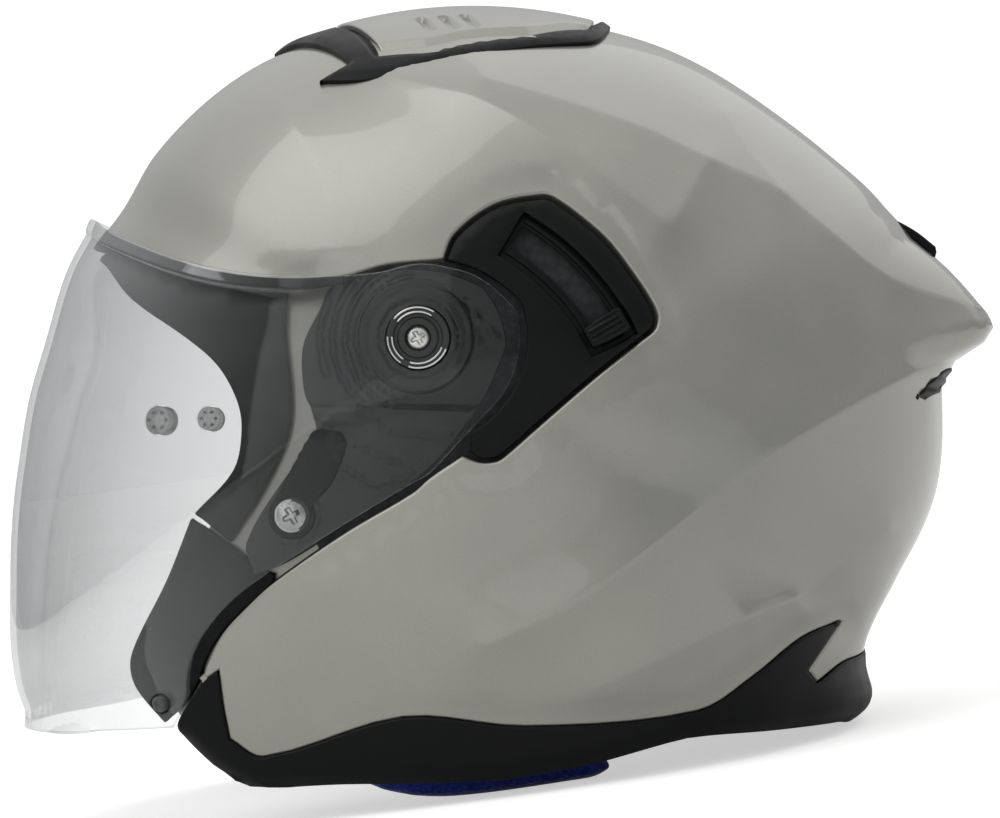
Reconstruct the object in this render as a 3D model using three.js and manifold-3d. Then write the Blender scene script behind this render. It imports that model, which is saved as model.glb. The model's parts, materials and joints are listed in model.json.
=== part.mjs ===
// Open face motorcycle helmet with a clear visor, a drop-down sun visor, a sliding crown vent
// and a ratchet chin strap. Millimetres. Everything is drawn in the worn frame, whose origin is
// on the visor axis at the mid-plane, with +X to the wearer's left, +Y to the back and +Z up.
// The exported group then tilts it back onto its rim and moves it to stand on z = 0.
import * as THREE from "three";
import { mergeVertices } from "three/addons/utils/BufferGeometryUtils.js";
import Module from "manifold-3d";

const wasm = await Module();
wasm.setup();

// ---- driving dimensions ----------------------------------------------------------------
const REST_TILT = 7.8; // degrees that the helmet leans back when it stands on its rim
const SHELL_WALL = 4;
const POCKET_DEPTH = 8; // depth of the visor mechanism pocket below the shell surface
const POCKET_FLOOR = 2.4; // thickness of the pocket's floor
const VISOR_WALL = 2.2;
const HUB_RADIUS = 10; // visor hub on the base plate
const GAP = 0.4; // clearance between neighbouring pieces
const SUN_PIVOT = [-13, -39]; // y, z of the sun visor axis
const KNOB_RADIUS = 84; // slider knob centre, from the sun visor axis
const KNOB_ANGLE = 30; // degrees, with the sun visor up
const RELEASE_TRAVEL = 8; // degrees that a visor release lever turns
const VENT_CENTRE = [17, -54]; // y, z of the centre of the crown vent's curved track
const VENT_RADIUS = 171.8;
const VENT_CROWN = 262; // sideways curve of the vent's track: its radius falls by x * x / this
const VENT_WALL = 2.4;
const VENT_CLEAR = 0.5; // the cover slides this far above the frame's floor
const INTAKE_X = 26; // an air intake under the crown vent, off the mid-plane
const PIN_BORE = 3.4; // radius of the bores on the sun visor's pins
const BASE_FACE = -4.4; // outer face of the base plate, off the shell surface
const KNOB_SWEEP = 25.5; // degrees that the sun visor turns from up to down
const LEVER_NEAR = 97.4; // inner face of the sun visor's arms, off the mid-plane
const LEVER_FACE = 101.4; // where the slider knob's stem meets its arm
const STRAP_ANCHOR = [52, -109]; // y, z of the plate that holds the strap to the shell
const STRAP_WIDTH = 22;
const STRAP_THICKNESS = 1.8;
const WIDE = 150; // half length of a prism that passes right through the helmet

// Height of the surface that the tilted helmet stands on, in the worn frame.
const restHeight = (y) => -149.5 + (y - 12) * Math.tan(THREE.MathUtils.degToRad(REST_TILT));

// A closed form: centre in side view, half width, and its outline as [degrees, radius],
// with 0 degrees to the back and 90 degrees up.
const SHELL = {
  centre: [35, -20],
  halfWidth: 125,
  facets: [26, 15],
  power: (degrees) => 2.45 + 0.2 * Math.cos(THREE.MathUtils.degToRad(degrees - 150)),
  rim: [
    [3, 144], [15, 143], [28, 141.5], [40, 135], [52, 131.5], [67, 131.5], [90, 132.5],
    [105, 137], [117, 143], [130, 150], [146, 154.8], [156, 156], [180, 178], [205, 208],
    [235, 228], [270, 232], [300, 192], [323, 147], [334, 142.5], [348, 146],
  ],
};
const VISOR = {
  centre: [0, 0],
  halfWidth: 124,
  facets: [32, 16],
  power: () => 2.3,
  rim: [
    [0, 200], [60, 190], [100, 150], [135, 125], [159.5, 123.2], [168, 126.8], [179, 131.5],
    [188, 139], [197, 148], [209, 165], [220, 185.5], [226, 193], [245, 222], [270, 236],
    [310, 226],
  ],
};
const SUN = {
  centre: SUN_PIVOT,
  halfWidth: 96,
  facets: [28, 10],
  power: () => 2.3,
  rim: [[0, 112], [180, 112]],
};
const HEAD = {
  centre: [30, -15],
  halfWidth: 80,
  facets: [22, 12],
  power: () => 2.4,
  rim: [
    [0, 105], [45, 102], [90, 91], [135, 99], [180, 105], [215, 150], [250, 225], [290, 215],
    [318, 136],
  ],
};

// ---- outlines in side view, [y, z] -------------------------------------------------------
const arc = ([y, z], radius, from, to, steps) =>
  Array.from({ length: steps + 1 }, (_, i) => {
    const a = THREE.MathUtils.degToRad(from + ((to - from) * i) / steps);
    return [y + radius * Math.cos(a), z + radius * Math.sin(a)];
  });

const EYE_EDGE = [ // edge of the shell round the face, from the brow to the chin end
  [-112, 31], [-93, 17.5], [-75, 5.5], [-62, -6], [-54.5, -18], [-52.5, -29], [-55, -41],
  [-64, -54], [-76, -76], [-87, -97], [-89.5, -106], [-87.5, -113], [-79, -122],
];
const TRIM_TOP = [ // boundary between the painted shell and the lower trim, front to back
  [-78.8, -124.6], [-70.3, -111.2], [-64.7, -106.9], [-63.3, -119], [-61.5, -129.2],
  [-50.5, -135], [-5, -121.2], [34, -124.1], [90, -120], [108.6, -109.2], [125.2, -97.7],
  [140.2, -93.2], [127.6, -108.7], [131, -113.2], [143.8, -107.1], [190, -107.1],
];
const TRIM_BOTTOM = [ // rim of the helmet, back to front
  [190, restHeight(190)], [148.8, restHeight(148.8)], [141, -129], [120, -129.2],
  [87.7, -130.4], [56.7, -138.1], [26, -143.3], [-24.9, -145.1], [-55.9, -146.7],
  [-68.5, -139.6], [-78.6, -129.8],
];
const SHELL_OUTLINE = [
  [-170, 31], ...EYE_EDGE, ...TRIM_TOP, [240, -107.1], [240, 170], [-170, 170],
];
const BROW_LINE = [ // top edge of the visor, from the pivot forwards
  [-12, 21], [-25, 19.7], [-38, 19.8], [-52, 20.6], [-66, 22.8], [-78.3, 26.1],
  [-91.2, 30.9], [-105.8, 37.4], [-115.4, 43.2], [-170, 60],
];
const COVER_OUTLINE = [ // side cover, over the top and back, then forwards round the disc
  [8.6, 24.8], [12.4, 32.7], [24.6, 42], [39.3, 45.1], [42.9, 44.2], [52.1, 37.6], [60, 30.3],
  [67.2, 21], [72.7, 12.5], [75.1, 7], [74.4, 3.3], [70.1, -0.3], [54.9, -12.5],
  [36.7, -28.2], [27, -36.7], [24.6, -38.2], [19.8, -38.5], [16.5, -36.4],
  ...arc([0, 0], 34.6, -60, 20, 6), [24.6, 18.4], [18.5, 21.9], [12.5, 23.9],
];
const SILVER_EDGE = [ // front lower edge of the painted surface, above the chin end
  [3.8, -44.5], [-1.6, -49.2], [-23.2, -62], [-46.5, -78.2], [-54.8, -85.7], [-63.3, -94.9],
  [-68.5, -104.9], [-70.3, -110.8],
];
const POCKET_OUTLINE = [
  [-170, 44], [-107, 33.5], [-91, 27.5], [-78, 22.8], [-66, 19.6], [-52, 17.6], [-38, 17.5],
  [-24, 19.5], [-10, 23.4], [5, 24.8], [8, 25.4], [11.6, 33.4], [24.2, 42.9], [39.3, 46.1],
  [43.4, 45.1],
  [52.8, 38.3], [60.8, 31], [68, 21.5], [73.6, 13], [76.1, 7.1], [75.2, 2.7], [70.7, -1.1],
  [55.5, -13.3], [37.3, -29], [27.5, -37.6], [24.8, -39.2], [19.6, -39.5], [14, -37.6],
  ...SILVER_EDGE, [-75, -119], [-80, -128], [-170, -128],
];
const VISOR_OUTLINE = [
  ...arc([0, 0], 32.5, -35, 15, 5), [24.6, 15.5], [18.5, 19.7], [12.5, 21.8], [0, 23.6],
  ...BROW_LINE, [-170, -133], [-141, -132.2], [-106.4, -129.2], [-80.8, -126.5],
  [-75.5, -116.1], [-75.1, -109.3], [-72.8, -100.9], [-67.6, -92.4], [-59, -83.2],
  [-46.5, -74], [-21.8, -58.4], [-1.6, -46.1], [3.4, -43.4], [14.3, -31.9],
];
const VISOR_LIP_OUTLINE = [[-170, -129.6], [-112, -127.4], [-112, -130.4], [-170, -134.8]];
const GASKET_OUTLINE = [
  [-170, 28.5], [-113.6, 28.5], [-96.1, 13.4], [-77.8, 1.4], [-65.7, -8.4], [-58.9, -19.7],
  [-57.2, -29.3], [-59.8, -42.1], [-72.6, -56], [-60.8, -65.3], [-51.2, -50.7],
  [-42.5, -32.5], [-41, -19.7], [-43.4, 2.7], [-43, 15], [-52, 16.4], [-66, 18.4],
  [-78, 21.6], [-91, 26.3], [-107, 32.3], [-170, 42],
];
const CHEEK_TRIM_OUTLINE = [
  [-73.8, -57.6], [-82.1, -77.8], [-92.5, -97.6], [-95.1, -106], [-92.9, -114.2],
  [-83.5, -125.2], [-76.6, -118.6], [-71.7, -111], [-69.8, -105.2], [-64.5, -95.8],
  [-56, -86.7], [-47.6, -79.2], [-46, -76], [-51, -73.4], [-60.8, -66.4],
];
const PLATE_OUTLINE = [
  ...arc([0, -3], 28, 0, 45, 3), [0, 17.2], [-28.3, 14.5], [-32.1, 9], [-37.2, -2.2],
  [-36.8, -16.5], [-33.8, -24.5], [-31.9, -32.5], [-40.9, -42], [-55.5, -65.6],
  [-50, -70.8], [-40.9, -65.9], [-23.2, -56.3], [-5.7, -45.1], [7, -35.6], [19.7, -21.3],
];
const BASE_SCREW = [-40.6, -56.7];
const RELEASE_OUTLINE = [ // visor release lever, from its boss up to the finger tip
  ...arc(BASE_SCREW, 7.6, 135, 385, 7), [-27.5, -46], [-23, -34], [-25, -30], [-33, -29],
  [-36, -33],
];
const LINER_OUTLINE = [
  [-140, 30], [-100, 26], [-70, 8], [-50, -10], [-42, -30], [-42, -44], [-38, -56],
  [-28, -74], [30, -84], [56, -90], [100, -90], [122, -82], [240, -82], [240, 170],
  [-140, 170],
];
const CHEEK_PAD_OUTLINE = [
  [-45, -50], [-58, -58], [-66, -72], [-78, -94], [-82, -106], [-78, -117], [-66, -124],
  [-20, -125], [12, -122], [20, -110], [16, -88], [-30, -79], [-41, -60],
];
const NECK_PAD_OUTLINE = [
  [-24, -134], [-23, -143], [-8, -148.4], [12, restHeight(12)], [59, restHeight(59)], [64, -134],
  [40, -130], [0, -130],
];
const CROWN_PAD_OUTLINE = [
  [-110, 24], [-70, 10], [-40, -12], [20, -34], [80, -60], [150, -64], [150, 130], [-110, 130],
];
const NECK_ROLL_OUTLINE = [[52, -96], [96, -104], [160, -104], [160, -122], [96, -122], [52, -116]];
const WING_OUTLINE = [
  [150, 52], [166, 41.5], [180, 26.4], [190.5, 14.6], [196.8, 5], [195.8, 2.3], [184.6, -5.1],
  [176, -9], [158, -6],
];
const EXHAUST_OUTLINE = [
  [156, 37], [160, 46.3], [171.6, 39.2], [176.4, 34], [178, 28.8], [170, 28], [160, 30],
];
const REAR_VENT_OUTLINE = [[156, -21], [168, -12.5], [182, -9.6], [182, -17.5], [166, -23]];

// ---- outlines in plan view, [x, y], left half from front to back -------------------------
const VENT_FRAME_PLAN = [
  [0, -54], [37, -40], [71, -25], [76, -35], [82, -22], [84, -9], [81, 3], [78, 15], [71, 33],
  [59, 56], [48, 61.5], [24, 64.5], [0, 65],
];
const VENT_COVER_PLAN = [
  [0, -31.5], [30, -25], [70, -13], [72, 2], [67, 15], [59, 38], [43, 55], [14, 58.5], [0, 59],
];
const WING_PLAN = [[66, 120], [64, 150], [52, 172], [32, 189], [0, 198]];

// ---- geometry helpers --------------------------------------------------------------------
function rimRadius(rim, degrees) {
  const n = rim.length;
  const at = (i) => {
    const turn = Math.floor(i / n);
    const [a, r] = rim[i - turn * n];
    return [a + 360 * turn, r];
  };
  let angle = THREE.MathUtils.euclideanModulo(degrees, 360);
  if (angle < rim[0][0]) angle += 360;
  let i = n - 1;
  while (rim[i][0] > angle) i -= 1;
  const [p, q, r, s] = [at(i - 1), at(i), at(i + 1), at(i + 2)];
  const span = r[0] - q[0];
  const t = (angle - q[0]) / span;
  const slopeIn = ((r[1] - p[1]) / (r[0] - p[0])) * span;
  const slopeOut = ((s[1] - q[1]) / (s[0] - q[0])) * span;
  const t2 = t * t;
  const t3 = t2 * t;
  return (2 * t3 - 3 * t2 + 1) * q[1] + (t3 - 2 * t2 + t) * slopeIn
    + (3 * t2 - 2 * t3) * r[1] + (t3 - t2) * slopeOut;
}

// Half width of a form at the side-view point (y, z), for the surface offset outwards.
function halfWidthAt(form, y, z, offset = 0) {
  const [cy, cz] = form.centre;
  const degrees = THREE.MathUtils.radToDeg(Math.atan2(z - cz, y - cy));
  const share = Math.hypot(y - cy, z - cz) / (rimRadius(form.rim, degrees) + offset);
  const rest = 1 - share ** form.power(degrees);
  return (form.halfWidth + offset) * Math.sqrt(Math.max(0, rest));
}

function solid(geometry) {
  geometry.deleteAttribute("normal");
  geometry.deleteAttribute("uv");
  const merged = mergeVertices(geometry, 1e-4);
  return new wasm.Manifold(new wasm.Mesh({
    numProp: 3,
    vertProperties: Float32Array.from(merged.attributes.position.array),
    triVerts: Uint32Array.from(merged.index.array),
  }));
}

function moveEach(geometry, move) {
  const position = geometry.attributes.position;
  const point = new THREE.Vector3();
  for (let i = 0; i < position.count; i += 1) {
    point.fromBufferAttribute(position, i);
    move(point);
    position.setXYZ(i, point.x, point.y, point.z);
  }
  return geometry;
}

// The closed form's surface, offset outwards, with its poles on the X axis.
const formCache = new Map();
function body(form, offset) {
  const [around, along] = form.facets;
  const key = [form.halfWidth, form.centre, offset].join();
  if (formCache.has(key)) return formCache.get(key);
  const sphere = new THREE.SphereGeometry(1, around, along).rotateZ(-Math.PI / 2);
  moveEach(sphere, (p) => {
    const angle = Math.atan2(p.z, p.y);
    const degrees = THREE.MathUtils.radToDeg(angle);
    const share = Math.hypot(p.y, p.z) ** (2 / form.power(degrees));
    const radius = (rimRadius(form.rim, degrees) + offset) * share;
    p.set(
      (form.halfWidth + offset) * p.x,
      form.centre[0] + radius * Math.cos(angle),
      form.centre[1] + radius * Math.sin(angle),
    );
  });
  const made = solid(sphere);
  formCache.set(key, made);
  return made;
}

function extrude(points, depth) {
  const shape = new THREE.Shape(points.map(([u, v]) => new THREE.Vector2(u, v)));
  return new THREE.ExtrudeGeometry(shape, { depth, bevelEnabled: false });
}

// Prism of a side-view outline between two X values.
function sidePrism(points, from = -WIDE, to = WIDE) {
  const turn = new THREE.Matrix4().set(0, 0, 1, from, 1, 0, 0, 0, 0, 1, 0, 0, 0, 0, 0, 1);
  return solid(extrude(points, to - from).applyMatrix4(turn));
}

// Prism of a plan-view outline, given as its left half, above the height `from`.
function planPrism(half, from, margin = 0, to = 160) {
  const other = half.filter(([x]) => x > 0).map(([x, y]) => [-x, y]).reverse();
  const outline = grow([...half, ...other], margin);
  return solid(extrude(outline, to - from).translate(0, 0, from));
}

// The outline moved outwards by a distance, with mitred corners.
function grow(points, distance) {
  const turning = points.reduce((sum, [u, v], i) => {
    const [s, t] = points[(i + 1) % points.length];
    return sum + u * t - s * v;
  }, 0);
  const side = Math.sign(turning) * distance;
  return points.map((point, i) => {
    const before = points[(i + points.length - 1) % points.length];
    const after = points[(i + 1) % points.length];
    const a = new THREE.Vector2(point[0] - before[0], point[1] - before[1]).normalize();
    const b = new THREE.Vector2(after[0] - point[0], after[1] - point[1]).normalize();
    const n = new THREE.Vector2(a.y + b.y, -a.x - b.x);
    const reach = (2 * side) / Math.max(n.lengthSq(), 1);
    return [point[0] + n.x * reach, point[1] + n.y * reach];
  });
}

function cut(block, ...tools) {
  return tools.reduce((left, tool) => left.subtract(tool), block);
}

function join(...blocks) {
  return blocks.reduce((sum, block) => sum.add(block));
}

// The largest of the bodies that a cut leaves, without its slivers.
function mainBody(made) {
  return made.decompose().reduce((most, next) => (next.volume() > most.volume() ? next : most));
}

// The part of a form between two offsets that lies inside a prism.
function layer(form, prism, outer, inner) {
  return prism.intersect(body(form, outer)).subtract(body(form, inner));
}

// Range of X on one side of the helmet: side is 1 for left and -1 for right.
const span = (side, near, far) => (side > 0 ? [near, far] : [-far, -near]);

// Cylinder along X on one side, from the near to the far distance off the mid-plane.
function rod(side, [y, z], radius, near, far, faces = 16) {
  const made = new THREE.CylinderGeometry(radius, radius, far - near, faces);
  made.rotateZ(Math.PI / 2).translate(side * (near + far) / 2, y, z);
  return solid(made);
}

// Cylinder square to a form's surface, between two heights above it.
function stud(form, side, [y, z], radius, low, high, offset = 0, faces = 16) {
  const x = halfWidthAt(form, y, z, offset);
  const step = 0.5;
  const slopeY = (halfWidthAt(form, y + step, z, offset) - halfWidthAt(form, y - step, z, offset));
  const slopeZ = (halfWidthAt(form, y, z + step, offset) - halfWidthAt(form, y, z - step, offset));
  const normal = new THREE.Vector3(side, -slopeY / (2 * step), -slopeZ / (2 * step)).normalize();
  const made = new THREE.CylinderGeometry(radius, radius, high - low, faces);
  const turn = new THREE.Quaternion().setFromUnitVectors(new THREE.Vector3(0, 1, 0), normal);
  made.translate(0, (low + high) / 2, 0).applyQuaternion(turn).translate(side * x, y, z);
  return solid(made);
}

// ---- materials ---------------------------------------------------------------------------
const finish = (color, roughness, metalness, more = {}) =>
  new THREE.MeshStandardMaterial({ color, roughness, metalness, ...more });
const PAINT = finish(0x8f8e88, 0.35, 0.35);
const BLACK_PLASTIC = finish(0x161a19, 0.45, 0);
const GREY_PLASTIC = finish(0x2f3132, 0.5, 0);
const RUBBER = finish(0x2b2d2d, 0.8, 0);
const CLEAR = finish(0xe8eef0, 0.05, 0, { transparent: true, opacity: 0.3 });
const SMOKE = finish(0x2a2c30, 0.08, 0, { transparent: true, opacity: 0.6 });
const FOAM = finish(0x26282a, 0.95, 0);
const FABRIC = finish(0x202224, 0.95, 0);
const BLUE_FABRIC = finish(0x1d2f63, 0.95, 0);
const WEBBING = finish(0x141516, 0.9, 0);
const STEEL = finish(0xb9bcbe, 0.3, 0.9);
const RED_PLASTIC = finish(0x9c2220, 0.45, 0);

const worn = new THREE.Group();

function add(name, made, material) {
  const mesh = made.getMesh();
  const geometry = new THREE.BufferGeometry();
  geometry.setAttribute("position", new THREE.BufferAttribute(mesh.vertProperties, 3));
  geometry.setIndex(new THREE.BufferAttribute(mesh.triVerts, 1));
  const node = new THREE.Mesh(geometry, material);
  node.name = name;
  worn.add(node);
}

const sides = [["left", 1], ["right", -1]];

// ---- pockets and paths that several pieces share -------------------------------------------
const pocketFloor = POCKET_DEPTH + POCKET_FLOOR;
const sector = (inner, outer, from, to, steps = 8) => [
  ...arc(SUN_PIVOT, outer, from, to, steps),
  ...arc(SUN_PIVOT, inner, to, from, steps),
];
const knobWindow = sector(76, 92, KNOB_ANGLE - 4, KNOB_ANGLE + KNOB_SWEEP + 4);
const stemSlot = sector(80, 88, KNOB_ANGLE - 3, KNOB_ANGLE + KNOB_SWEEP + 3);

// Ring round the vent's track, wide enough to be cut to the cover's outline.
function ventRing(outer, inner, steps = 90) {
  const across = [-85, -64, -42, -21, 0, 21, 42, 64, 85];
  const drop = (x) => (x * x) / VENT_CROWN;
  const profile = [
    ...across.map((x) => [VENT_RADIUS + outer - drop(x), x]),
    ...across.reverse().map((x) => [VENT_RADIUS + inner - drop(x), x]),
  ];
  profile.push(profile[0]);
  const points = profile.map(([r, x]) => new THREE.Vector2(r, x));
  const ring = new THREE.LatheGeometry(points, steps);
  ring.rotateZ(-Math.PI / 2).translate(0, ...VENT_CENTRE);
  return solid(ring);
}

// ---- shell ---------------------------------------------------------------------------------
function outerShell() {
  const outline = sidePrism(SHELL_OUTLINE);
  const skin = layer(SHELL, outline, 0, -SHELL_WALL);
  const pocketArea = sidePrism(grow(POCKET_OUTLINE, 3)).intersect(outline);
  const walls = layer(SHELL, pocketArea, 0, -pocketFloor);
  const wing = sidePrism(WING_OUTLINE, -75, 75)
    .intersect(planPrism(WING_PLAN, -40))
    .subtract(body(SHELL, -2));
  const pocket = sidePrism(POCKET_OUTLINE).subtract(body(SHELL, -POCKET_DEPTH));
  const intakes = [-INTAKE_X, INTAKE_X].map((x) => {
    const hole = new THREE.CylinderGeometry(6, 6, 60, 20).scale(1, 1, 2);
    return solid(hole.rotateX(Math.PI / 2).translate(x, 4, 105));
  });
  const screwHoles = sides.flatMap(([, side]) => [
    rod(side, [0, 0], 2.6, 90, 125, 12),
    rod(side, BASE_SCREW, 2.6, 85, 125, 12),
    rod(side, SUN_PIVOT, PIN_BORE, 90, 125, 12),
  ]);
  return cut(
    join(skin, walls, wing),
    pocket,
    sidePrism(grow([...TRIM_TOP, ...TRIM_BOTTOM], GAP)),
    sidePrism(grow(EXHAUST_OUTLINE, GAP), -22 - GAP, 22 + GAP),
    ...sides.map(([, side]) => sidePrism(grow(REAR_VENT_OUTLINE, GAP), ...span(side, 14, 46))),
    sidePrism(stemSlot, 60, WIDE),
    ...intakes,
    ...screwHoles,
  );
}

function linerBlock() {
  const sunRoom = sector(0.1, 150, 86, 215, 8);
  const leverRoom = sector(0.1, 97, 14, 100, 6);
  const rootRoom = sector(0.1, 36, -70, 16, 4);
  return cut(
    layer(SHELL, sidePrism(LINER_OUTLINE), -SHELL_WALL - 1, -100),
    sidePrism(grow(POCKET_OUTLINE, 4.2)).subtract(body(SHELL, -pocketFloor - 1)),
    sidePrism(sunRoom).subtract(body(SUN, -3.6)),
    ...sides.flatMap(([, side]) => [
      sidePrism(leverRoom, ...span(side, 91, WIDE)),
      sidePrism(rootRoom, ...span(side, 91, WIDE)),
      rod(side, SUN_PIVOT, 14, 89, WIDE),
    ]),
    body(HEAD, 0),
  );
}

function crownPad() {
  return layer(HEAD, sidePrism(CROWN_PAD_OUTLINE), -0.8, -7);
}

add("outer_shell", outerShell(), PAINT);
add("eps_liner", linerBlock(), FOAM);
add("crown_pad", crownPad(), FABRIC);
add(
  "neck_roll",
  layer(HEAD, sidePrism(NECK_ROLL_OUTLINE), 12, -9).intersect(body(SHELL, -13)),
  FABRIC,
);

// ---- trims -----------------------------------------------------------------------------------
const trimOutline = sidePrism([...TRIM_TOP, ...TRIM_BOTTOM]);
add("lower_trim", layer(SHELL, trimOutline, 0.8, -11), BLACK_PLASTIC);
add("eye_port_gasket", layer(SHELL, sidePrism(GASKET_OUTLINE), -4.6, -POCKET_DEPTH + GAP), RUBBER);
add(
  "rear_exhaust",
  sidePrism(EXHAUST_OUTLINE, -22, 22).subtract(body(SHELL, -SHELL_WALL - 0.6)),
  BLACK_PLASTIC,
);

// ---- crown vent ----------------------------------------------------------------------------
function ventFrame() {
  const room = planPrism(VENT_COVER_PLAN, 60, 8);
  const block = planPrism(VENT_FRAME_PLAN, 60)
    .intersect(body(SHELL, 3.2))
    .subtract(body(SHELL, GAP));
  return mainBody(block.subtract(ventRing(20, -VENT_WALL - VENT_CLEAR).intersect(room)));
}

function ventCover() {
  return planPrism(VENT_COVER_PLAN, 60).intersect(ventRing(0, -VENT_WALL));
}

add("top_vent_frame", ventFrame(), BLACK_PLASTIC);
add("top_vent_cover", ventCover(), PAINT);

// ---- visor -----------------------------------------------------------------------------------
const pinlockAt = [-84, -26.2];
const visorStudAt = [-84.5, -118.5];
function visorLens() {
  const wall = layer(VISOR, sidePrism(VISOR_OUTLINE), 0, -VISOR_WALL);
  const lip = layer(VISOR, sidePrism(VISOR_LIP_OUTLINE), 2.4, -VISOR_WALL);
  const holes = sides.flatMap(([, side]) => [
    rod(side, [0, 0], HUB_RADIUS + GAP, 100, 140, 20),
    stud(VISOR, side, pinlockAt, 5, -8, 8),
    stud(VISOR, side, visorStudAt, 3.2, -8, 8),
  ]);
  return cut(join(wall, lip), ...holes);
}

add("visor_lens", visorLens(), CLEAR);

// ---- sun visor -------------------------------------------------------------------------------
function sunVisor() {
  const lens = sector(56, 130, 94, 136, 8);
  const [y, z] = SUN_PIVOT;
  const arm = [[y - 4, z + 2], [y - 20, z + 60], [y - 52, z + 42], [y - 8, z - 6]];
  const area = join(
    sidePrism(lens),
    sidePrism(arm),
    rod(1, SUN_PIVOT, 9, 60, WIDE),
    rod(-1, SUN_PIVOT, 9, 60, WIDE),
  );
  const holes = sides.map(([, side]) => rod(side, SUN_PIVOT, PIN_BORE, 60, WIDE, 16));
  return cut(layer(SUN, area, 0, -2), ...holes);
}

add("sun_visor_lens", sunVisor(), SMOKE);

const polar = (radius, degrees) => arc(SUN_PIVOT, radius, degrees, degrees, 1)[0];
function knobBar(length, width) {
  const lower = KNOB_ANGLE - THREE.MathUtils.radToDeg(width / 2 / KNOB_RADIUS);
  const upper = KNOB_ANGLE + THREE.MathUtils.radToDeg(width / 2 / KNOB_RADIUS);
  const [near, far] = [KNOB_RADIUS - length / 2, KNOB_RADIUS + length / 2];
  return [polar(near, lower), polar(far, lower), polar(far, upper), polar(near, upper)];
}
add(
  "slider_knob",
  join(sidePrism(knobBar(14, 7), 119, 127.4), sidePrism(knobBar(5, 4), LEVER_FACE, 120)),
  BLACK_PLASTIC,
);

// Arm that joins the sun visor's lens to its pin: the left one reaches out to the slider knob.
function sunVisorArm(side) {
  const tip = side > 0
    ? knobBar(14, 12).slice(1, 3)
    : [polar(26, KNOB_ANGLE - 20), polar(26, KNOB_ANGLE + 20)];
  const outline = [polar(9, KNOB_ANGLE - 90), ...tip, polar(9, KNOB_ANGLE + 90)];
  const depth = [LEVER_NEAR, LEVER_FACE - GAP];
  return cut(
    join(sidePrism(outline, ...span(side, ...depth)), rod(side, SUN_PIVOT, 9, ...depth)),
    rod(side, SUN_PIVOT, PIN_BORE, 80, WIDE, 16),
  );
}

// Prism of a visor release lever, grown by a margin and turned about its screw.
function releasePrism(side, margin, degrees) {
  const turn = THREE.MathUtils.degToRad(degrees);
  const pivot = new THREE.Vector2(...BASE_SCREW);
  const turned = grow(RELEASE_OUTLINE, margin).map(([y, z]) =>
    new THREE.Vector2(y, z).rotateAround(pivot, turn).toArray());
  return sidePrism(turned, ...span(side, 60, WIDE));
}

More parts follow.
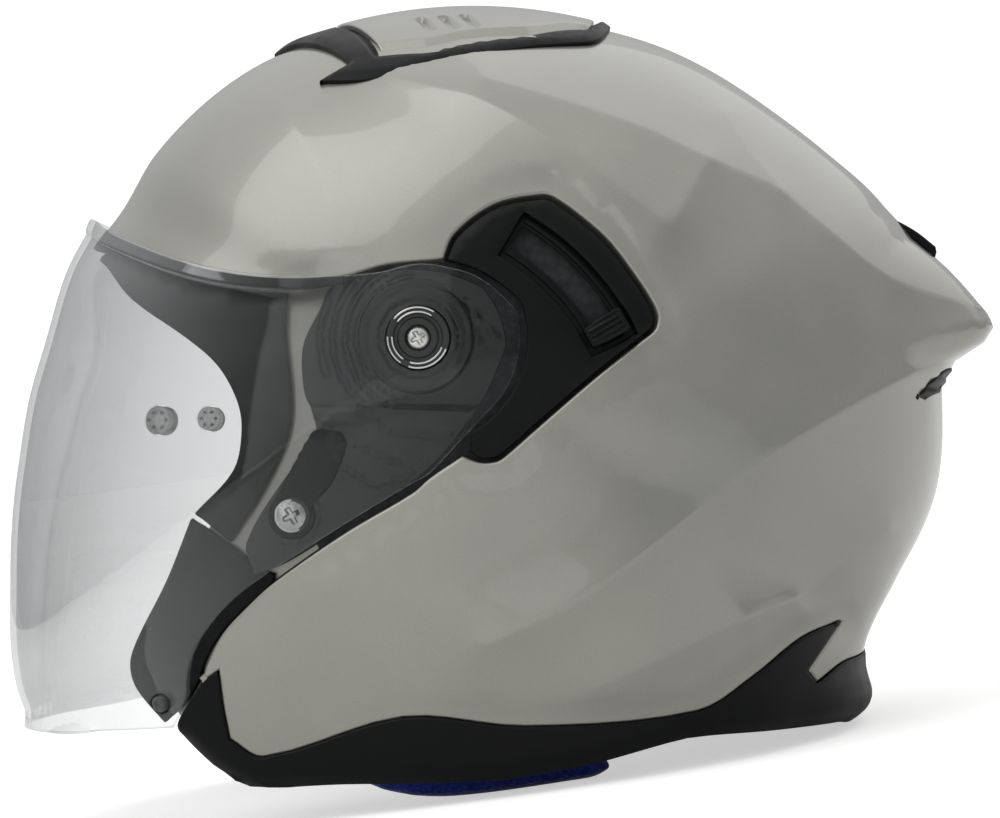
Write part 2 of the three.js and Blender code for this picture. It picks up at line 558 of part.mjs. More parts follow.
for (const [name, side] of sides) {
  add(`sun_visor_arm_${name}`, sunVisorArm(side), GREY_PLASTIC);

  const pinRoot = halfWidthAt(SHELL, ...SUN_PIVOT, -POCKET_DEPTH) - 1.2;
  add(
    `sun_visor_pin_${name}`,
    join(rod(side, SUN_PIVOT, 2.9, 92, pinRoot, 12), rod(side, SUN_PIVOT, 6, 90, 92.4, 16)),
    STEEL,
  );

  // visor mechanism
  const plateArea = sidePrism(PLATE_OUTLINE, ...span(side, 60, WIDE));
  const hub = rod(side, [0, 0], HUB_RADIUS, 115.6, 124.2, 20);
  const ringFace = VISOR.halfWidth - VISOR_WALL - 1.6;
  const screwSeat = halfWidthAt(SHELL, ...BASE_SCREW, BASE_FACE);
  const ringRoom = rod(side, [0, 0], 18, ringFace - 2 - GAP, WIDE, 20);
  const releaseRoom = join(
    ...[0, RELEASE_TRAVEL / 2, RELEASE_TRAVEL].map((turn) => releasePrism(side, GAP, turn)),
  );
  const base = cut(
    join(layer(SHELL, plateArea, BASE_FACE, -POCKET_DEPTH + GAP).subtract(ringRoom), hub),
    releaseRoom.subtract(body(SHELL, -6.2)),
    rod(side, [0, 0], 2.5, 80, 126, 12),
    rod(side, [0, 0], 4.2, 121.6, 126, 16),
    rod(side, BASE_SCREW, 2.5, 80, 125, 12),
  );
  add(`base_plate_${name}`, base, GREY_PLASTIC);
  const releaseLever = layer(SHELL, releasePrism(side, 0, 0), -4.2, -5.8);
  const releaseBore = rod(side, BASE_SCREW, 5, 80, 125, 16);
  add(`release_lever_${name}`, releaseLever.subtract(releaseBore), BLACK_PLASTIC);
  add(
    `pivot_screw_${name}`,
    join(rod(side, [0, 0], 2.1, 110.6, 122, 12), rod(side, [0, 0], 3.7, 121.9, 123.8, 16)),
    STEEL,
  );
  add(
    `base_screw_${name}`,
    join(
      rod(side, BASE_SCREW, 2.1, screwSeat - 7.5, screwSeat, 12),
      rod(side, BASE_SCREW, 4.6, screwSeat - 1.4, screwSeat + 0.2, 16),
    ),
    STEEL,
  );
  add(
    `visor_lock_ring_${name}`,
    cut(
      rod(side, [0, 0], 17, ringFace - 2, ringFace, 20),
      rod(side, [0, 0], HUB_RADIUS + GAP, 100, 140, 20),
    ),
    GREY_PLASTIC,
  );
  add(`pinlock_pin_${name}`, stud(VISOR, side, pinlockAt, 4.6, -4.6, 0.9), GREY_PLASTIC);

  const coverArea = sidePrism(COVER_OUTLINE, ...span(side, 60, WIDE));
  const pegs = [[58, -3], [27, 36]].map(([y, z]) => {
    const floor = halfWidthAt(SHELL, y, z, -POCKET_DEPTH) + 1.2;
    return rod(side, [y, z], 2.4, floor, halfWidthAt(SHELL, y, z) - 1, 14);
  });
  const cover = join(layer(SHELL, coverArea, 0.8, -1.8), ...pegs);
  const window = sidePrism(knobWindow, 60, WIDE);
  add(`side_cover_${name}`, side > 0 ? cover.subtract(window) : cover, BLACK_PLASTIC);

  const cheekTrim = sidePrism(CHEEK_TRIM_OUTLINE, ...span(side, 30, WIDE));
  add(`cheek_trim_${name}`, layer(SHELL, cheekTrim, -5, -POCKET_DEPTH + GAP), RUBBER);
  add(`visor_stud_${name}`, stud(VISOR, side, visorStudAt, 2.8, -3.2, 1.2, 0, 16), BLACK_PLASTIC);

  const ventArea = sidePrism(REAR_VENT_OUTLINE, ...span(side, 14 + GAP, 46 - GAP));
  add(`rear_vent_${name}`, layer(SHELL, ventArea, 0.4, -SHELL_WALL - 0.4), BLACK_PLASTIC);

  // pads
  const cheekArea = sidePrism(CHEEK_PAD_OUTLINE, ...span(side, 60, WIDE));
  add(`cheek_pad_${name}`, cheekArea.intersect(body(SHELL, -pocketFloor - 1.2)), FABRIC);
  const neckArea = sidePrism(NECK_PAD_OUTLINE, ...span(side, 80, 96));
  add(`neck_pad_${name}`, neckArea.intersect(body(SHELL, -12)), BLUE_FABRIC);
}

// ---- chin strap --------------------------------------------------------------------------------
// Centre line of the webbing in front view, as [distance from the mid-plane, z].
const STRAP_LINE = [[96, -100], [92, -112], [85, -123], [74, -132], [58, -137], [30, -139.5]];
const strapY = (x) => -4 + 0.86 * Math.max(0, Math.abs(x) - 30);

// Flat webbing along a centre line in front view, lifted by `rise` and `thickness` thick.
function ribbon(side, line, width, thickness, rise = 0) {
  const offset = (shift) => line.map((point, i) => {
    const before = line[Math.max(i - 1, 0)];
    const after = line[Math.min(i + 1, line.length - 1)];
    const along = new THREE.Vector2(after[0] - before[0], after[1] - before[1]).normalize();
    return [point[0] + along.y * shift, point[1] - along.x * shift];
  });
  const outline = [...offset(rise + thickness / 2), ...offset(rise - thickness / 2).reverse()];
  const strip = extrude(outline, width).translate(0, 0, -width / 2).rotateX(Math.PI / 2);
  if (side < 0) strip.rotateZ(Math.PI);
  return moveEach(strip, (p) => {
    p.y += strapY(p.x);
  });
}

const anchorX = halfWidthAt(SHELL, ...STRAP_ANCHOR, -SHELL_WALL) - 5.6;
for (const [name, side] of sides) {
  const webbing = solid(ribbon(side, STRAP_LINE, STRAP_WIDTH, STRAP_THICKNESS));
  add(`strap_${name}`, webbing, WEBBING);
  const padLine = STRAP_LINE.slice(3);
  const pad = solid(ribbon(side, padLine, STRAP_WIDTH + 8, 4, STRAP_THICKNESS / 2 + 2.4));
  add(`strap_pad_${name}`, pad, FABRIC);
  const plate = new THREE.BoxGeometry(2.2, 24, 14).translate(side * anchorX, ...STRAP_ANCHOR);
  add(`strap_anchor_${name}`, solid(plate), STEEL);
}

// ratchet buckle: the left strap ends in a toothed tongue, the right strap in the buckle
const buckleZ = -139.5;
function boxAt(width, depth, height, x, y, z) {
  return solid(new THREE.BoxGeometry(width, depth, height).translate(x, y, z));
}

function tongue() {
  const tooth = 3;
  const blade = boxAt(52, 14, 2.4, 3.4, -4, buckleZ);
  const teeth = Array.from({ length: 9 }, (_, i) => {
    const bar = extrude([[0, 0], [tooth, 0], [0, -1.2]], 12).rotateX(Math.PI / 2);
    return solid(bar.translate(-20 + i * tooth, 2, buckleZ - 1.1));
  });
  return join(blade, ...teeth);
}

function buckleBody() {
  const block = boxAt(32, 26, 8, -13.5, -4, buckleZ);
  return cut(
    block,
    boxAt(60, 15, 5.4, -13.5, -4, buckleZ - 0.7),
    boxAt(30, 15, 8, -17, -4, buckleZ - 4),
    solid(new THREE.CylinderGeometry(1.5, 1.5, 60, 14).translate(-25, -4, buckleZ - 2.6)),
  );
}

function buckleLever() {
  const plate = boxAt(20, 13.6, 2.2, -14, -4, buckleZ - 5);
  const knuckle = new THREE.CylinderGeometry(2.6, 2.6, 13.6, 16).translate(-25, -4, buckleZ - 3.4);
  const bore = new THREE.CylinderGeometry(1.5, 1.5, 60, 14).translate(-25, -4, buckleZ - 2.6);
  return cut(join(plate, solid(knuckle)), solid(bore));
}

add("ratchet_tongue", tongue(), GREY_PLASTIC);
add("buckle_body", buckleBody(), STEEL);
add("buckle_lever", buckleLever(), RED_PLASTIC);
add(
  "buckle_pin",
  solid(new THREE.CylinderGeometry(1.1, 1.1, 25, 14).translate(-25, -4, buckleZ - 2.6)),
  STEEL,
);

// ---- stand the helmet on its rim -----------------------------------------------------------------
const helmet = new THREE.Group();
helmet.add(worn);
worn.rotation.x = -THREE.MathUtils.degToRad(REST_TILT);
helmet.updateMatrixWorld(true);
const box = new THREE.Box3().setFromObject(helmet, true);
worn.position.set(0, -(box.min.y + box.max.y) / 2, -box.min.z);

export default helmet;
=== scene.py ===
# Open face motorcycle helmet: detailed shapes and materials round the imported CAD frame.
# Shapes are drawn in the worn frame in millimetres: origin on the visor axis, X left, Y back,
# Z up. row() moves them to the frame's own metres, where the helmet leans back on its rim.
import json
import math

import bmesh
import bpy
import numpy as np
from mathutils import Matrix, Vector, kdtree
from mathutils.geometry import delaunay_2d_cdt


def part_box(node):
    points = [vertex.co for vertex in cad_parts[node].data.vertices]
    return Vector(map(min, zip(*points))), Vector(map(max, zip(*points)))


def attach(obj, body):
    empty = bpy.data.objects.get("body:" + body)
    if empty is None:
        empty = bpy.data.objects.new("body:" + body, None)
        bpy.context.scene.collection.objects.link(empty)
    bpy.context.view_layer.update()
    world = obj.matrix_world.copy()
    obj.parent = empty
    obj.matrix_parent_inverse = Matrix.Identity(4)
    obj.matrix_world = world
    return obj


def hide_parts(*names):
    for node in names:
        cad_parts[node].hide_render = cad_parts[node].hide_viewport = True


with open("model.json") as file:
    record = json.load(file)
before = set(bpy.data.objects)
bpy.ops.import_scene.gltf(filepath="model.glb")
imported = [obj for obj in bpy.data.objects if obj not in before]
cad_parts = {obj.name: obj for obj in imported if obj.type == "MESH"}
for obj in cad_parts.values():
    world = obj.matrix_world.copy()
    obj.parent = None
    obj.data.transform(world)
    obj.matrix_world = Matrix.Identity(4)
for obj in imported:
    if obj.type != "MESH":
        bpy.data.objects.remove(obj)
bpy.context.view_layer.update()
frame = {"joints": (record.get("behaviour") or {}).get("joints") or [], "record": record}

record = frame["record"]
hinge = next(j for j in frame["joints"] if j["name"] == "visor_hinge")
seat = next(m for m in record["mounts"] if m["name"] == "head_seat")
ORIGIN = np.array(hinge["pos_m"])
UP = -np.array(seat["axis"], float)
BACK = np.array([0.0, UP[2], -UP[1]])
AXES = np.array([[1.0, 0.0, 0.0], BACK, UP])
SIDES = (("left", 1), ("right", -1))
REST_POINT, REST_LEAN = (12, -149.5), 7.8


def row(points):
    return ORIGIN + np.asarray(points, float) @ AXES / 1000


# ---- closed forms that the layers of the helmet follow --------------------------------------
def unit(v):
    return v / np.maximum(np.linalg.norm(v, axis=-1, keepdims=True), 1e-12)


class Form:
    """A closed form round an X axis: outline radius by angle in side view, and a half width."""

    def __init__(self, centre, width, power, rim):
        self.centre = np.array(centre, float)
        self.width, self.power = width, power
        a = [float(x) for x, _ in rim]
        r = [float(x) for _, x in rim]
        self.a = np.array([a[-2] - 360, a[-1] - 360, *a, a[0] + 360, a[1] + 360, a[2] + 360])
        self.r = np.array([r[-2], r[-1], *r, r[0], r[1], r[2]])

    def rim(self, degrees):
        d = np.mod(degrees, 360)
        d = np.where(d < self.a[2], d + 360, d)
        i = np.clip(np.searchsorted(self.a, d, side="right") - 1, 1, len(self.a) - 3)
        a, r = self.a, self.r
        step = a[i + 1] - a[i]
        t = (d - a[i]) / step
        slope_in = (r[i + 1] - r[i - 1]) / (a[i + 1] - a[i - 1]) * step
        slope_out = (r[i + 2] - r[i]) / (a[i + 2] - a[i]) * step
        return ((2 * t**3 - 3 * t**2 + 1) * r[i] + (t**3 - 2 * t**2 + t) * slope_in
                + (3 * t**2 - 2 * t**3) * r[i + 1] + (t**3 - t**2) * slope_out)

    def q(self, points, off=0.0):
        """Surface coordinates of side-view points (y, z); past the rim they run on outwards."""
        d = np.asarray(points, float) - self.centre
        degrees = np.degrees(np.arctan2(d[:, 1], d[:, 0]))
        r = np.hypot(d[:, 0], d[:, 1])
        share = r / (self.rim(degrees) + off)
        inside = np.arcsin(np.clip(share, 0, 1) ** (self.power(degrees) / 2)) * 2 / math.pi
        reach = self.rim(degrees) * np.where(share > 1, share, inside)
        return d / np.maximum(r, 1e-9)[:, None] * reach[:, None]

    def q_polar(self, degrees, x, off=0.0):
        """Surface coordinates of the point at that angle and that distance off the mid-plane."""
        lean = np.arccos(np.clip(np.asarray(x, float) / (self.width + off), -1, 1)) * 2 / math.pi
        a = np.radians(degrees)
        return np.stack([np.cos(a), np.sin(a)], 1) * (self.rim(degrees) * lean)[:, None]

    def q_search(self, x, value, axis, low, high, off=0.0):
        """Surface coordinates where the form at x reaches a y (axis 1) or z (axis 2) value."""
        x, value = np.asarray(x, float), np.asarray(value, float)
        low, high = np.full(len(x), float(low)), np.full(len(x), float(high))
        rising = 1 if axis == 2 else -1
        for _ in range(40):
            middle = (low + high) / 2
            got = self.at(self.q_polar(middle, x, off), off)[:, axis]
            above = (got - value) * rising > 0
            high, low = np.where(above, middle, high), np.where(above, low, middle)
        return self.q_polar((low + high) / 2, x, off)

    def at(self, q, off=0.0):
        degrees = np.degrees(np.arctan2(q[:, 1], q[:, 0]))
        reach = np.hypot(q[:, 0], q[:, 1])
        rim = self.rim(degrees)
        lean = reach / rim * math.pi / 2
        r = (rim + off) * np.abs(np.sin(lean)) ** (2 / self.power(degrees))
        a = np.radians(degrees)
        return np.stack([(self.width + off) * np.cos(lean), self.centre[0] + r * np.cos(a),
                         self.centre[1] + r * np.sin(a)], 1)

    def inside(self, p, off=0.0):
        """Above 0 outside the form and below 0 inside it."""
        y, z = p[:, 1] - self.centre[0], p[:, 2] - self.centre[1]
        degrees = np.degrees(np.arctan2(z, y))
        share = np.hypot(y, z) / (self.rim(degrees) + off)
        return share ** self.power(degrees) + (p[:, 0] / (self.width + off)) ** 2 - 1

    def rim_points(self, step):
        degrees = np.linspace(0, 360, int(2 * math.pi * 150 / step), endpoint=False)
        return self.q_polar(degrees, np.zeros(len(degrees)))

    def within(self, q):
        degrees = np.degrees(np.arctan2(q[:, 1], q[:, 0]))
        return np.hypot(q[:, 0], q[:, 1]) / self.rim(degrees)


class Flat:
    """A plane square to X at a distance off the mid-plane."""

    def __init__(self, x):
        self.x = x

    def q(self, points, off=0.0):
        return np.asarray(points, float)

    def at(self, q, off=0.0):
        return np.stack([np.full(len(q), self.x + off), q[:, 0], q[:, 1]], 1)


class Track:
    """The crown vent's track: a ring about a centre, lower towards the sides."""

    def __init__(self, centre, radius, crown):
        self.centre, self.radius, self.crown = centre, radius, crown

    def q(self, points, off=0.0):
        p = np.asarray(points, float)
        r = self.radius + off - p[:, 0] ** 2 / self.crown
        return np.stack([p[:, 0], self.radius * np.arcsin((p[:, 1] - self.centre[0]) / r)], 1)

    def at(self, q, off=0.0):
        a = q[:, 1] / self.radius
        r = self.radius + off - q[:, 0] ** 2 / self.crown
        return np.stack([q[:, 0], self.centre[0] + r * np.sin(a),
                         self.centre[1] + r * np.cos(a)], 1)

    def gap(self, p, off=0.0):
        """How far below the track a point lies."""
        r = self.radius + off - p[:, 0] ** 2 / self.crown
        below = r - np.hypot(p[:, 1] - self.centre[0], p[:, 2] - self.centre[1])
        return below / np.sqrt(1 + (2 * p[:, 0] / self.crown) ** 2)


SHELL = Form(
    (35, -20), 125, lambda d: 2.45 + 0.2 * np.cos(np.radians(d - 150)),
    [(3, 144), (15, 143), (28, 141.5), (40, 135), (52, 131.5), (67, 131.5), (90, 132.5),
     (105, 137), (117, 143), (130, 150), (146, 154.8), (156, 156), (180, 178), (205, 208),
     (235, 228), (270, 232), (300, 192), (323, 147), (334, 142.5), (348, 146)])
VISOR = Form(
    (0, 0), 124, lambda d: 2.3 + 0 * d,
    [(0, 200), (60, 190), (100, 150), (135, 125), (159.5, 123.2), (168, 126.8), (179, 131.5),
     (188, 139), (197, 148), (209, 165), (220, 185.5), (226, 193), (245, 222), (270, 236),
     (310, 226)])
SUN_PIVOT = (-13, -39)
SUN = Form(SUN_PIVOT, 96, lambda d: 2.3 + 0 * d,
           [(0, 112), (60, 112), (120, 112), (180, 112), (240, 112), (300, 112)])
HEAD = Form(
    (30, -15), 80, lambda d: 2.4 + 0 * d,
    [(0, 105), (45, 102), (90, 91), (135, 99), (180, 105), (215, 150), (250, 225),
     (290, 215), (318, 136)])
TRACK = Track((17, -54), 171.8, 262)


# ---- outlines -------------------------------------------------------------------------------
LINE_CORNER = 60


def arc(centre, radius, start, stop, steps):
    a = np.radians(np.linspace(start, stop, steps + 1))
    return [(centre[0] + radius * math.cos(t), centre[1] + radius * math.sin(t)) for t in a]


def polar(radius, degrees, centre=SUN_PIVOT):
    return arc(centre, radius, degrees, degrees, 1)[0]


def sector(inner, outer, start, stop, steps=24):
    return (arc(SUN_PIVOT, outer, start, stop, steps)
            + arc(SUN_PIVOT, inner, stop, start, steps))


def rest_height(y):
    """Height of the ground under the worn frame, which leans back by REST_LEAN degrees."""
    return REST_POINT[1] + (y - REST_POINT[0]) * math.tan(math.radians(REST_LEAN))


def resample(points, step, closed=True):
    """The polyline with points at most a step apart, its own points kept."""
    p = np.asarray(points, float)
    ends = np.roll(p, -1, 0) if closed else p[1:]
    made = []
    for a, b in zip(p, ends):
        n = max(1, int(math.ceil(np.linalg.norm(b - a) / step)))
        made.extend(a + (b - a) * i / n for i in range(n))
    if not closed:
        made.append(p[-1])
    return np.array(made)


def rounded(points, sharp=50, closed=True, cuts=5):
    """A smooth curve through the points, except where the line turns by more than sharp degrees."""
    p = np.asarray(points, float)
    n = len(p)
    last = n if closed else n - 1
    turn = np.zeros(n)
    for i in range(n):
        if not closed and i in (0, n - 1):
            turn[i] = 180
            continue
        a, b = p[i] - p[i - 1], p[(i + 1) % n] - p[i]
        cos = a @ b / max(np.linalg.norm(a) * np.linalg.norm(b), 1e-9)
        turn[i] = math.degrees(math.acos(max(-1, min(1, cos))))
    made = []
    for i in range(last):
        a, b = p[i], p[(i + 1) % n]
        size = np.linalg.norm(b - a)
        before, after = p[i - 1], p[(i + 2) % n]
        reach_a = np.linalg.norm(a - before) + size
        reach_b = np.linalg.norm(after - b) + size
        ta = (b - a) if turn[i] > sharp else (b - before) * size / max(reach_a, 1e-9)
        tb = (b - a) if turn[(i + 1) % n] > sharp else (after - a) * size / max(reach_b, 1e-9)
        for k in range(cuts):
            t = k / cuts
            made.append((2 * t**3 - 3 * t**2 + 1) * a + (t**3 - 2 * t**2 + t) * ta
                        + (3 * t**2 - 2 * t**3) * b + (t**3 - t**2) * tb)
    if not closed:
        made.append(p[-1])
    return np.array(made)


def area_of(p):
    nxt = np.roll(p, -1, 0)
    return 0.5 * float(np.sum(p[:, 0] * nxt[:, 1] - p[:, 1] * nxt[:, 0]))


def grow(points, distance):
    """The closed outline moved outwards, or inwards where the distance is below 0."""
    p = np.asarray(points, float)
    side = math.copysign(distance, distance * area_of(p)) if distance else 0
    a = unit(p - np.roll(p, 1, 0))
    b = unit(np.roll(p, -1, 0) - p)
    n = np.stack([a[:, 1] + b[:, 1], -a[:, 0] - b[:, 0]], 1)
    return p + n * (2 * side / np.maximum((n * n).sum(1), 1.2))[:, None]


def contains(loops, q):
    """Even-odd test of points against closed loops."""
    found = np.zeros(len(q), bool)
    for loop in loops:
        a, b = loop, np.roll(loop, -1, 0)
        for (ax, ay), (bx, by) in zip(a, b):
            if ay == by:
                continue
            crossing = (ay > q[:, 1]) != (by > q[:, 1])
            found ^= crossing & (q[:, 0] < (bx - ax) * (q[:, 1] - ay) / (by - ay) + ax)
    return found


def to_line(p, line):
    """Distance of points from a polyline, and their side: 1 to its left, -1 to its right, and
    between those past its ends."""
    line = np.asarray(line, float)
    best = np.full(len(p), 1e9)
    side = np.ones(len(p))
    for a, b in zip(line[:-1], line[1:]):
        d = b - a
        t = np.clip(((p - a) @ d) / (d @ d), 0, 1)
        off = p - a - t[:, None] * d
        dist = np.hypot(off[:, 0], off[:, 1])
        nearer = dist < best
        best = np.where(nearer, dist, best)
        cross = (d[0] * off[:, 1] - d[1] * off[:, 0]) / (np.hypot(*d) * np.maximum(dist, 1e-6))
        side = np.where(nearer, cross, side)
    return best, side


def smooth(t):
    t = np.clip(t, 0, 1)
    return t * t * (3 - 2 * t)


def curve(line):
    """The smooth open curve through the points of a line."""
    return rounded(line, LINE_CORNER, False)


def off_curve(p, line):
    """Distance of worn points from the curve through a line, in side view."""
    return to_line(p[:, 1:], curve(line))[0]


def ridge(distance, at, width, power=2):
    return np.exp(-((distance - at) / width) ** power)


def slope_normal(surface, q, e=0.3):
    du = surface(q + (e, 0)) - surface(q - (e, 0))
    dv = surface(q + (0, e)) - surface(q - (0, e))
    return unit(np.cross(du, dv))


# ---- layers as closed meshes ----------------------------------------------------------------
class Part:
    """Points in worn millimetres with their normals, and faces."""

    def __init__(self, points, normals, faces):
        self.points, self.normals, self.faces = points, normals, faces

    def __add__(self, other):
        n = len(self.points)
        faces = list(self.faces) + [tuple(i + n for i in f) for f in other.faces]
        return Part(np.concatenate([self.points, other.points]),
                    np.concatenate([self.normals, other.normals]), faces)

    def mirrored(self):
        flip = np.array([-1.0, 1.0, 1.0])
        return Part(self.points * flip, self.normals * flip,
                    [tuple(reversed(f)) for f in self.faces])


def panel(form, outline, off=0.0, wall=2.0, edge=0.8, step=2.6, height=None, lines=(),
          holes=(), both=False, in_q=False, low_edge=0.3, rings=3, sharp=50, smooth_line=True):
    """A closed plate along a form: outline and holes in side view, or in surface coordinates
    where in_q is set. Its outer face lies at off plus height(points) and it is wall thick, a
    number or a function of points and normals. edge rounds its outer rim and low_edge its inner
    one. both makes it cross the mid-plane. lines are kept as edges of the mesh."""
    def ready(points, grown):
        p = rounded(points, sharp) if smooth_line else points
        p = grow(resample(p, step), grown)
        return resample(p if in_q else form.q(p, off), step)

    loops = [ready(outline, -edge)] + [ready(h, edge) for h in holes]
    coords, edges = [], []

    def lay(points, closed):
        start = len(coords)
        coords.extend(points)
        n = len(points)
        edges.extend((start + i, start + (i + 1) % n) for i in range(n if closed else n - 1))

    for loop in loops:
        lay(loop, True)
    if both:
        lay(form.rim_points(step), True)
    for line in lines:
        p = resample(curve(line), step, False)
        lay(p if in_q else form.q(p, off), False)
    fixed = np.array(coords)
    tree = kdtree.KDTree(len(fixed))
    for i, (u, v) in enumerate(fixed):
        tree.insert((u, v, 0), i)
    tree.balance()
    low, high = loops[0].min(0), loops[0].max(0)
    us = np.arange(low[0], high[0], step)
    vs = np.arange(low[1], high[1], step * 0.866)
    grid = np.array([(u + (j % 2) * step / 2, v) for j, v in enumerate(vs) for u in us])
    if len(grid):
        keep = contains(loops, grid)
        if both:
            keep &= form.within(grid) < 1
        grid = grid[keep]
        grid = np.array([g for g in grid if tree.find((g[0], g[1], 0))[2] > 0.55 * step])
    everything = np.concatenate([fixed, grid]) if len(grid) else fixed
    flat, _, tris, _, _, _ = delaunay_2d_cdt(
        [Vector((float(u), float(v))) for u, v in everything], edges, [], 0, 1e-5)
    q = np.array([(v[0], v[1]) for v in flat])
    tris = np.array([t for t in tris if len(t) == 3])
    middle = q[tris].mean(1)
    keep = contains(loops, middle)
    if both:
        keep &= form.within(middle) < 1
    tris = tris[keep]
    a, b, c = (q[tris[:, i]] for i in range(3))
    turned = ((b - a)[:, 0] * (c - a)[:, 1] - (b - a)[:, 1] * (c - a)[:, 0]) < 0
    tris[turned] = tris[turned][:, ::-1]
    used, tris = np.unique(tris, return_inverse=True)
    tris = tris.reshape(-1, 3)
    q = q[used]
    mid = form.within(q) > 1 - 1e-4 if both else np.zeros(len(q), bool)

    def base_normal(q):
        return slope_normal(lambda u: form.at(u, off), q, 0.25)

    def outer(q):
        p = form.at(q, off)
        if height is None:
            return p
        return p + base_normal(q) * height(p)[:, None]

    def thick(p, n):
        return np.full(len(p), float(wall)) if np.isscalar(wall) else wall(p, n)

    def inner(q):
        p, n = outer(q), base_normal(q)
        return p - n * thick(form.at(q, off), n)[:, None]

    def level(v):
        """Unit normals, square to X where they stand on the mid-plane."""
        v = v.copy()
        v[mid, 0] = 0
        return unit(v)

    p = outer(q)
    n = level(slope_normal(outer, q))
    p[mid, 0] = 0
    inward = level(base_normal(q))
    wall_here = thick(form.at(q, off), inward)
    p_in = p - inward * wall_here[:, None]
    n_in = level(n if np.isscalar(wall) else slope_normal(inner, q))

    seen = {(int(t[i]), int(t[(i + 1) % 3])): True for t in tris for i in range(3)}
    border = [(i, j) for i, j in seen if (j, i) not in seen and not (mid[i] and mid[j])]
    ahead = dict(border)
    behind = {j: i for i, j in border}
    rim = sorted(set(ahead) | set(behind))
    out = np.zeros((len(rim), 3))
    for k, i in enumerate(rim):
        parts = []
        if i in behind:
            parts.append(unit(np.cross(p[i] - p[behind[i]], n[i])))
        if i in ahead:
            parts.append(unit(np.cross(p[ahead[i]] - p[i], n[i])))
        total = np.sum(parts, 0)
        size = np.linalg.norm(total) / len(parts)
        direction = total / max(np.linalg.norm(total), 1e-9)
        if mid[i]:
            direction[0] = 0
            direction = unit(direction)
        direction = unit(direction - n[i] * (direction @ n[i]))
        out[k] = direction * min(1.4, 1 / max(size, 0.5))
    ri = np.array(rim, int)
    rp, rn = p[ri], n[ri]
    ro = unit(out)
    layers = []
    for j in range(1, rings + 1):
        t = math.pi / 2 * j / rings
        layers.append((rp - rn * edge * (1 - math.cos(t)) + out * edge * math.sin(t),
                       rn * math.cos(t) + ro * math.sin(t)))
    foot = rp - inward[ri] * wall_here[ri][:, None]
    down = inward[ri]
    for j in range(0, 3):
        t = math.pi / 2 * j / 2
        layers.append((foot + out * (edge - low_edge * (1 - math.cos(t)))
                       + down * low_edge * (1 - math.sin(t)),
                       ro * math.cos(t) - down * math.sin(t)))
    p_in[ri] = layers[-1][0]
    inner_start = len(q)
    points = [p, p_in]
    normals = [n, -n_in]
    start = 2 * inner_start
    slot = {i: k for k, i in enumerate(rim)}
    faces = [tuple(int(x) for x in t) for t in tris]
    faces += [tuple(int(x) + inner_start for x in t[::-1]) for t in tris]
    previous = {i: i for i in rim}
    for layer_points, layer_normals in layers[:-1]:
        points.append(layer_points)
        normals.append(layer_normals)
        current = {i: start + slot[i] for i in rim}
        faces += [(previous[j], previous[i], current[i], current[j]) for i, j in border]
        previous = current
        start += len(rim)
    last = {i: i + inner_start for i in rim}
    faces += [(previous[j], previous[i], last[i], last[j]) for i, j in border]
    points, normals = np.concatenate(points), np.concatenate(normals)
    made = Part(points, normals, faces)
    if not both:
        return made
    on_mid = np.abs(points[:, 0]) < 1e-3
    points[on_mid, 0] = 0
    normals[on_mid, 0] = 0
    made.normals = unit(normals)
    other = made.mirrored()
    n_all = len(points)
    index = np.where(on_mid, np.arange(n_all), 0)
    index[~on_mid] = n_all + np.arange(int((~on_mid).sum()))
    faces = made.faces + [tuple(int(index[i]) for i in f) for f in other.faces]
    return Part(np.concatenate([points, other.points[~on_mid]]),
                np.concatenate([made.normals, other.normals[~on_mid]]), faces)


def object_of(name, part, material, side=1):
    if side < 0:
        part = part.mirrored()
    mesh = bpy.data.meshes.new(name)
    mesh.from_pydata([tuple(p) for p in row(part.points)], [], part.faces)
    mesh.polygons.foreach_set("use_smooth", [True] * len(mesh.polygons))
    mesh.normals_split_custom_set_from_vertices([tuple(v) for v in unit(part.normals @ AXES)])
    mesh.materials.append(material)
    made = bpy.data.objects.new(name, mesh)
    bpy.context.scene.collection.objects.link(made)
    return made


def ride(made, body, nodes):
    """Puts the piece on its body and hides the CAD nodes it stands for."""
    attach(made, body)
    if nodes:
        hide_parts(*nodes)
    return made


def place(name, part, material, body, nodes, side=1):
    return ride(object_of(name, part, material, side), body, nodes)


def linear(r, g, b):
    return tuple((c / 255 / 12.92 if c <= 10 else ((c / 255 + 0.055) / 1.055) ** 2.4)
                 for c in (r, g, b)) + (1.0,)


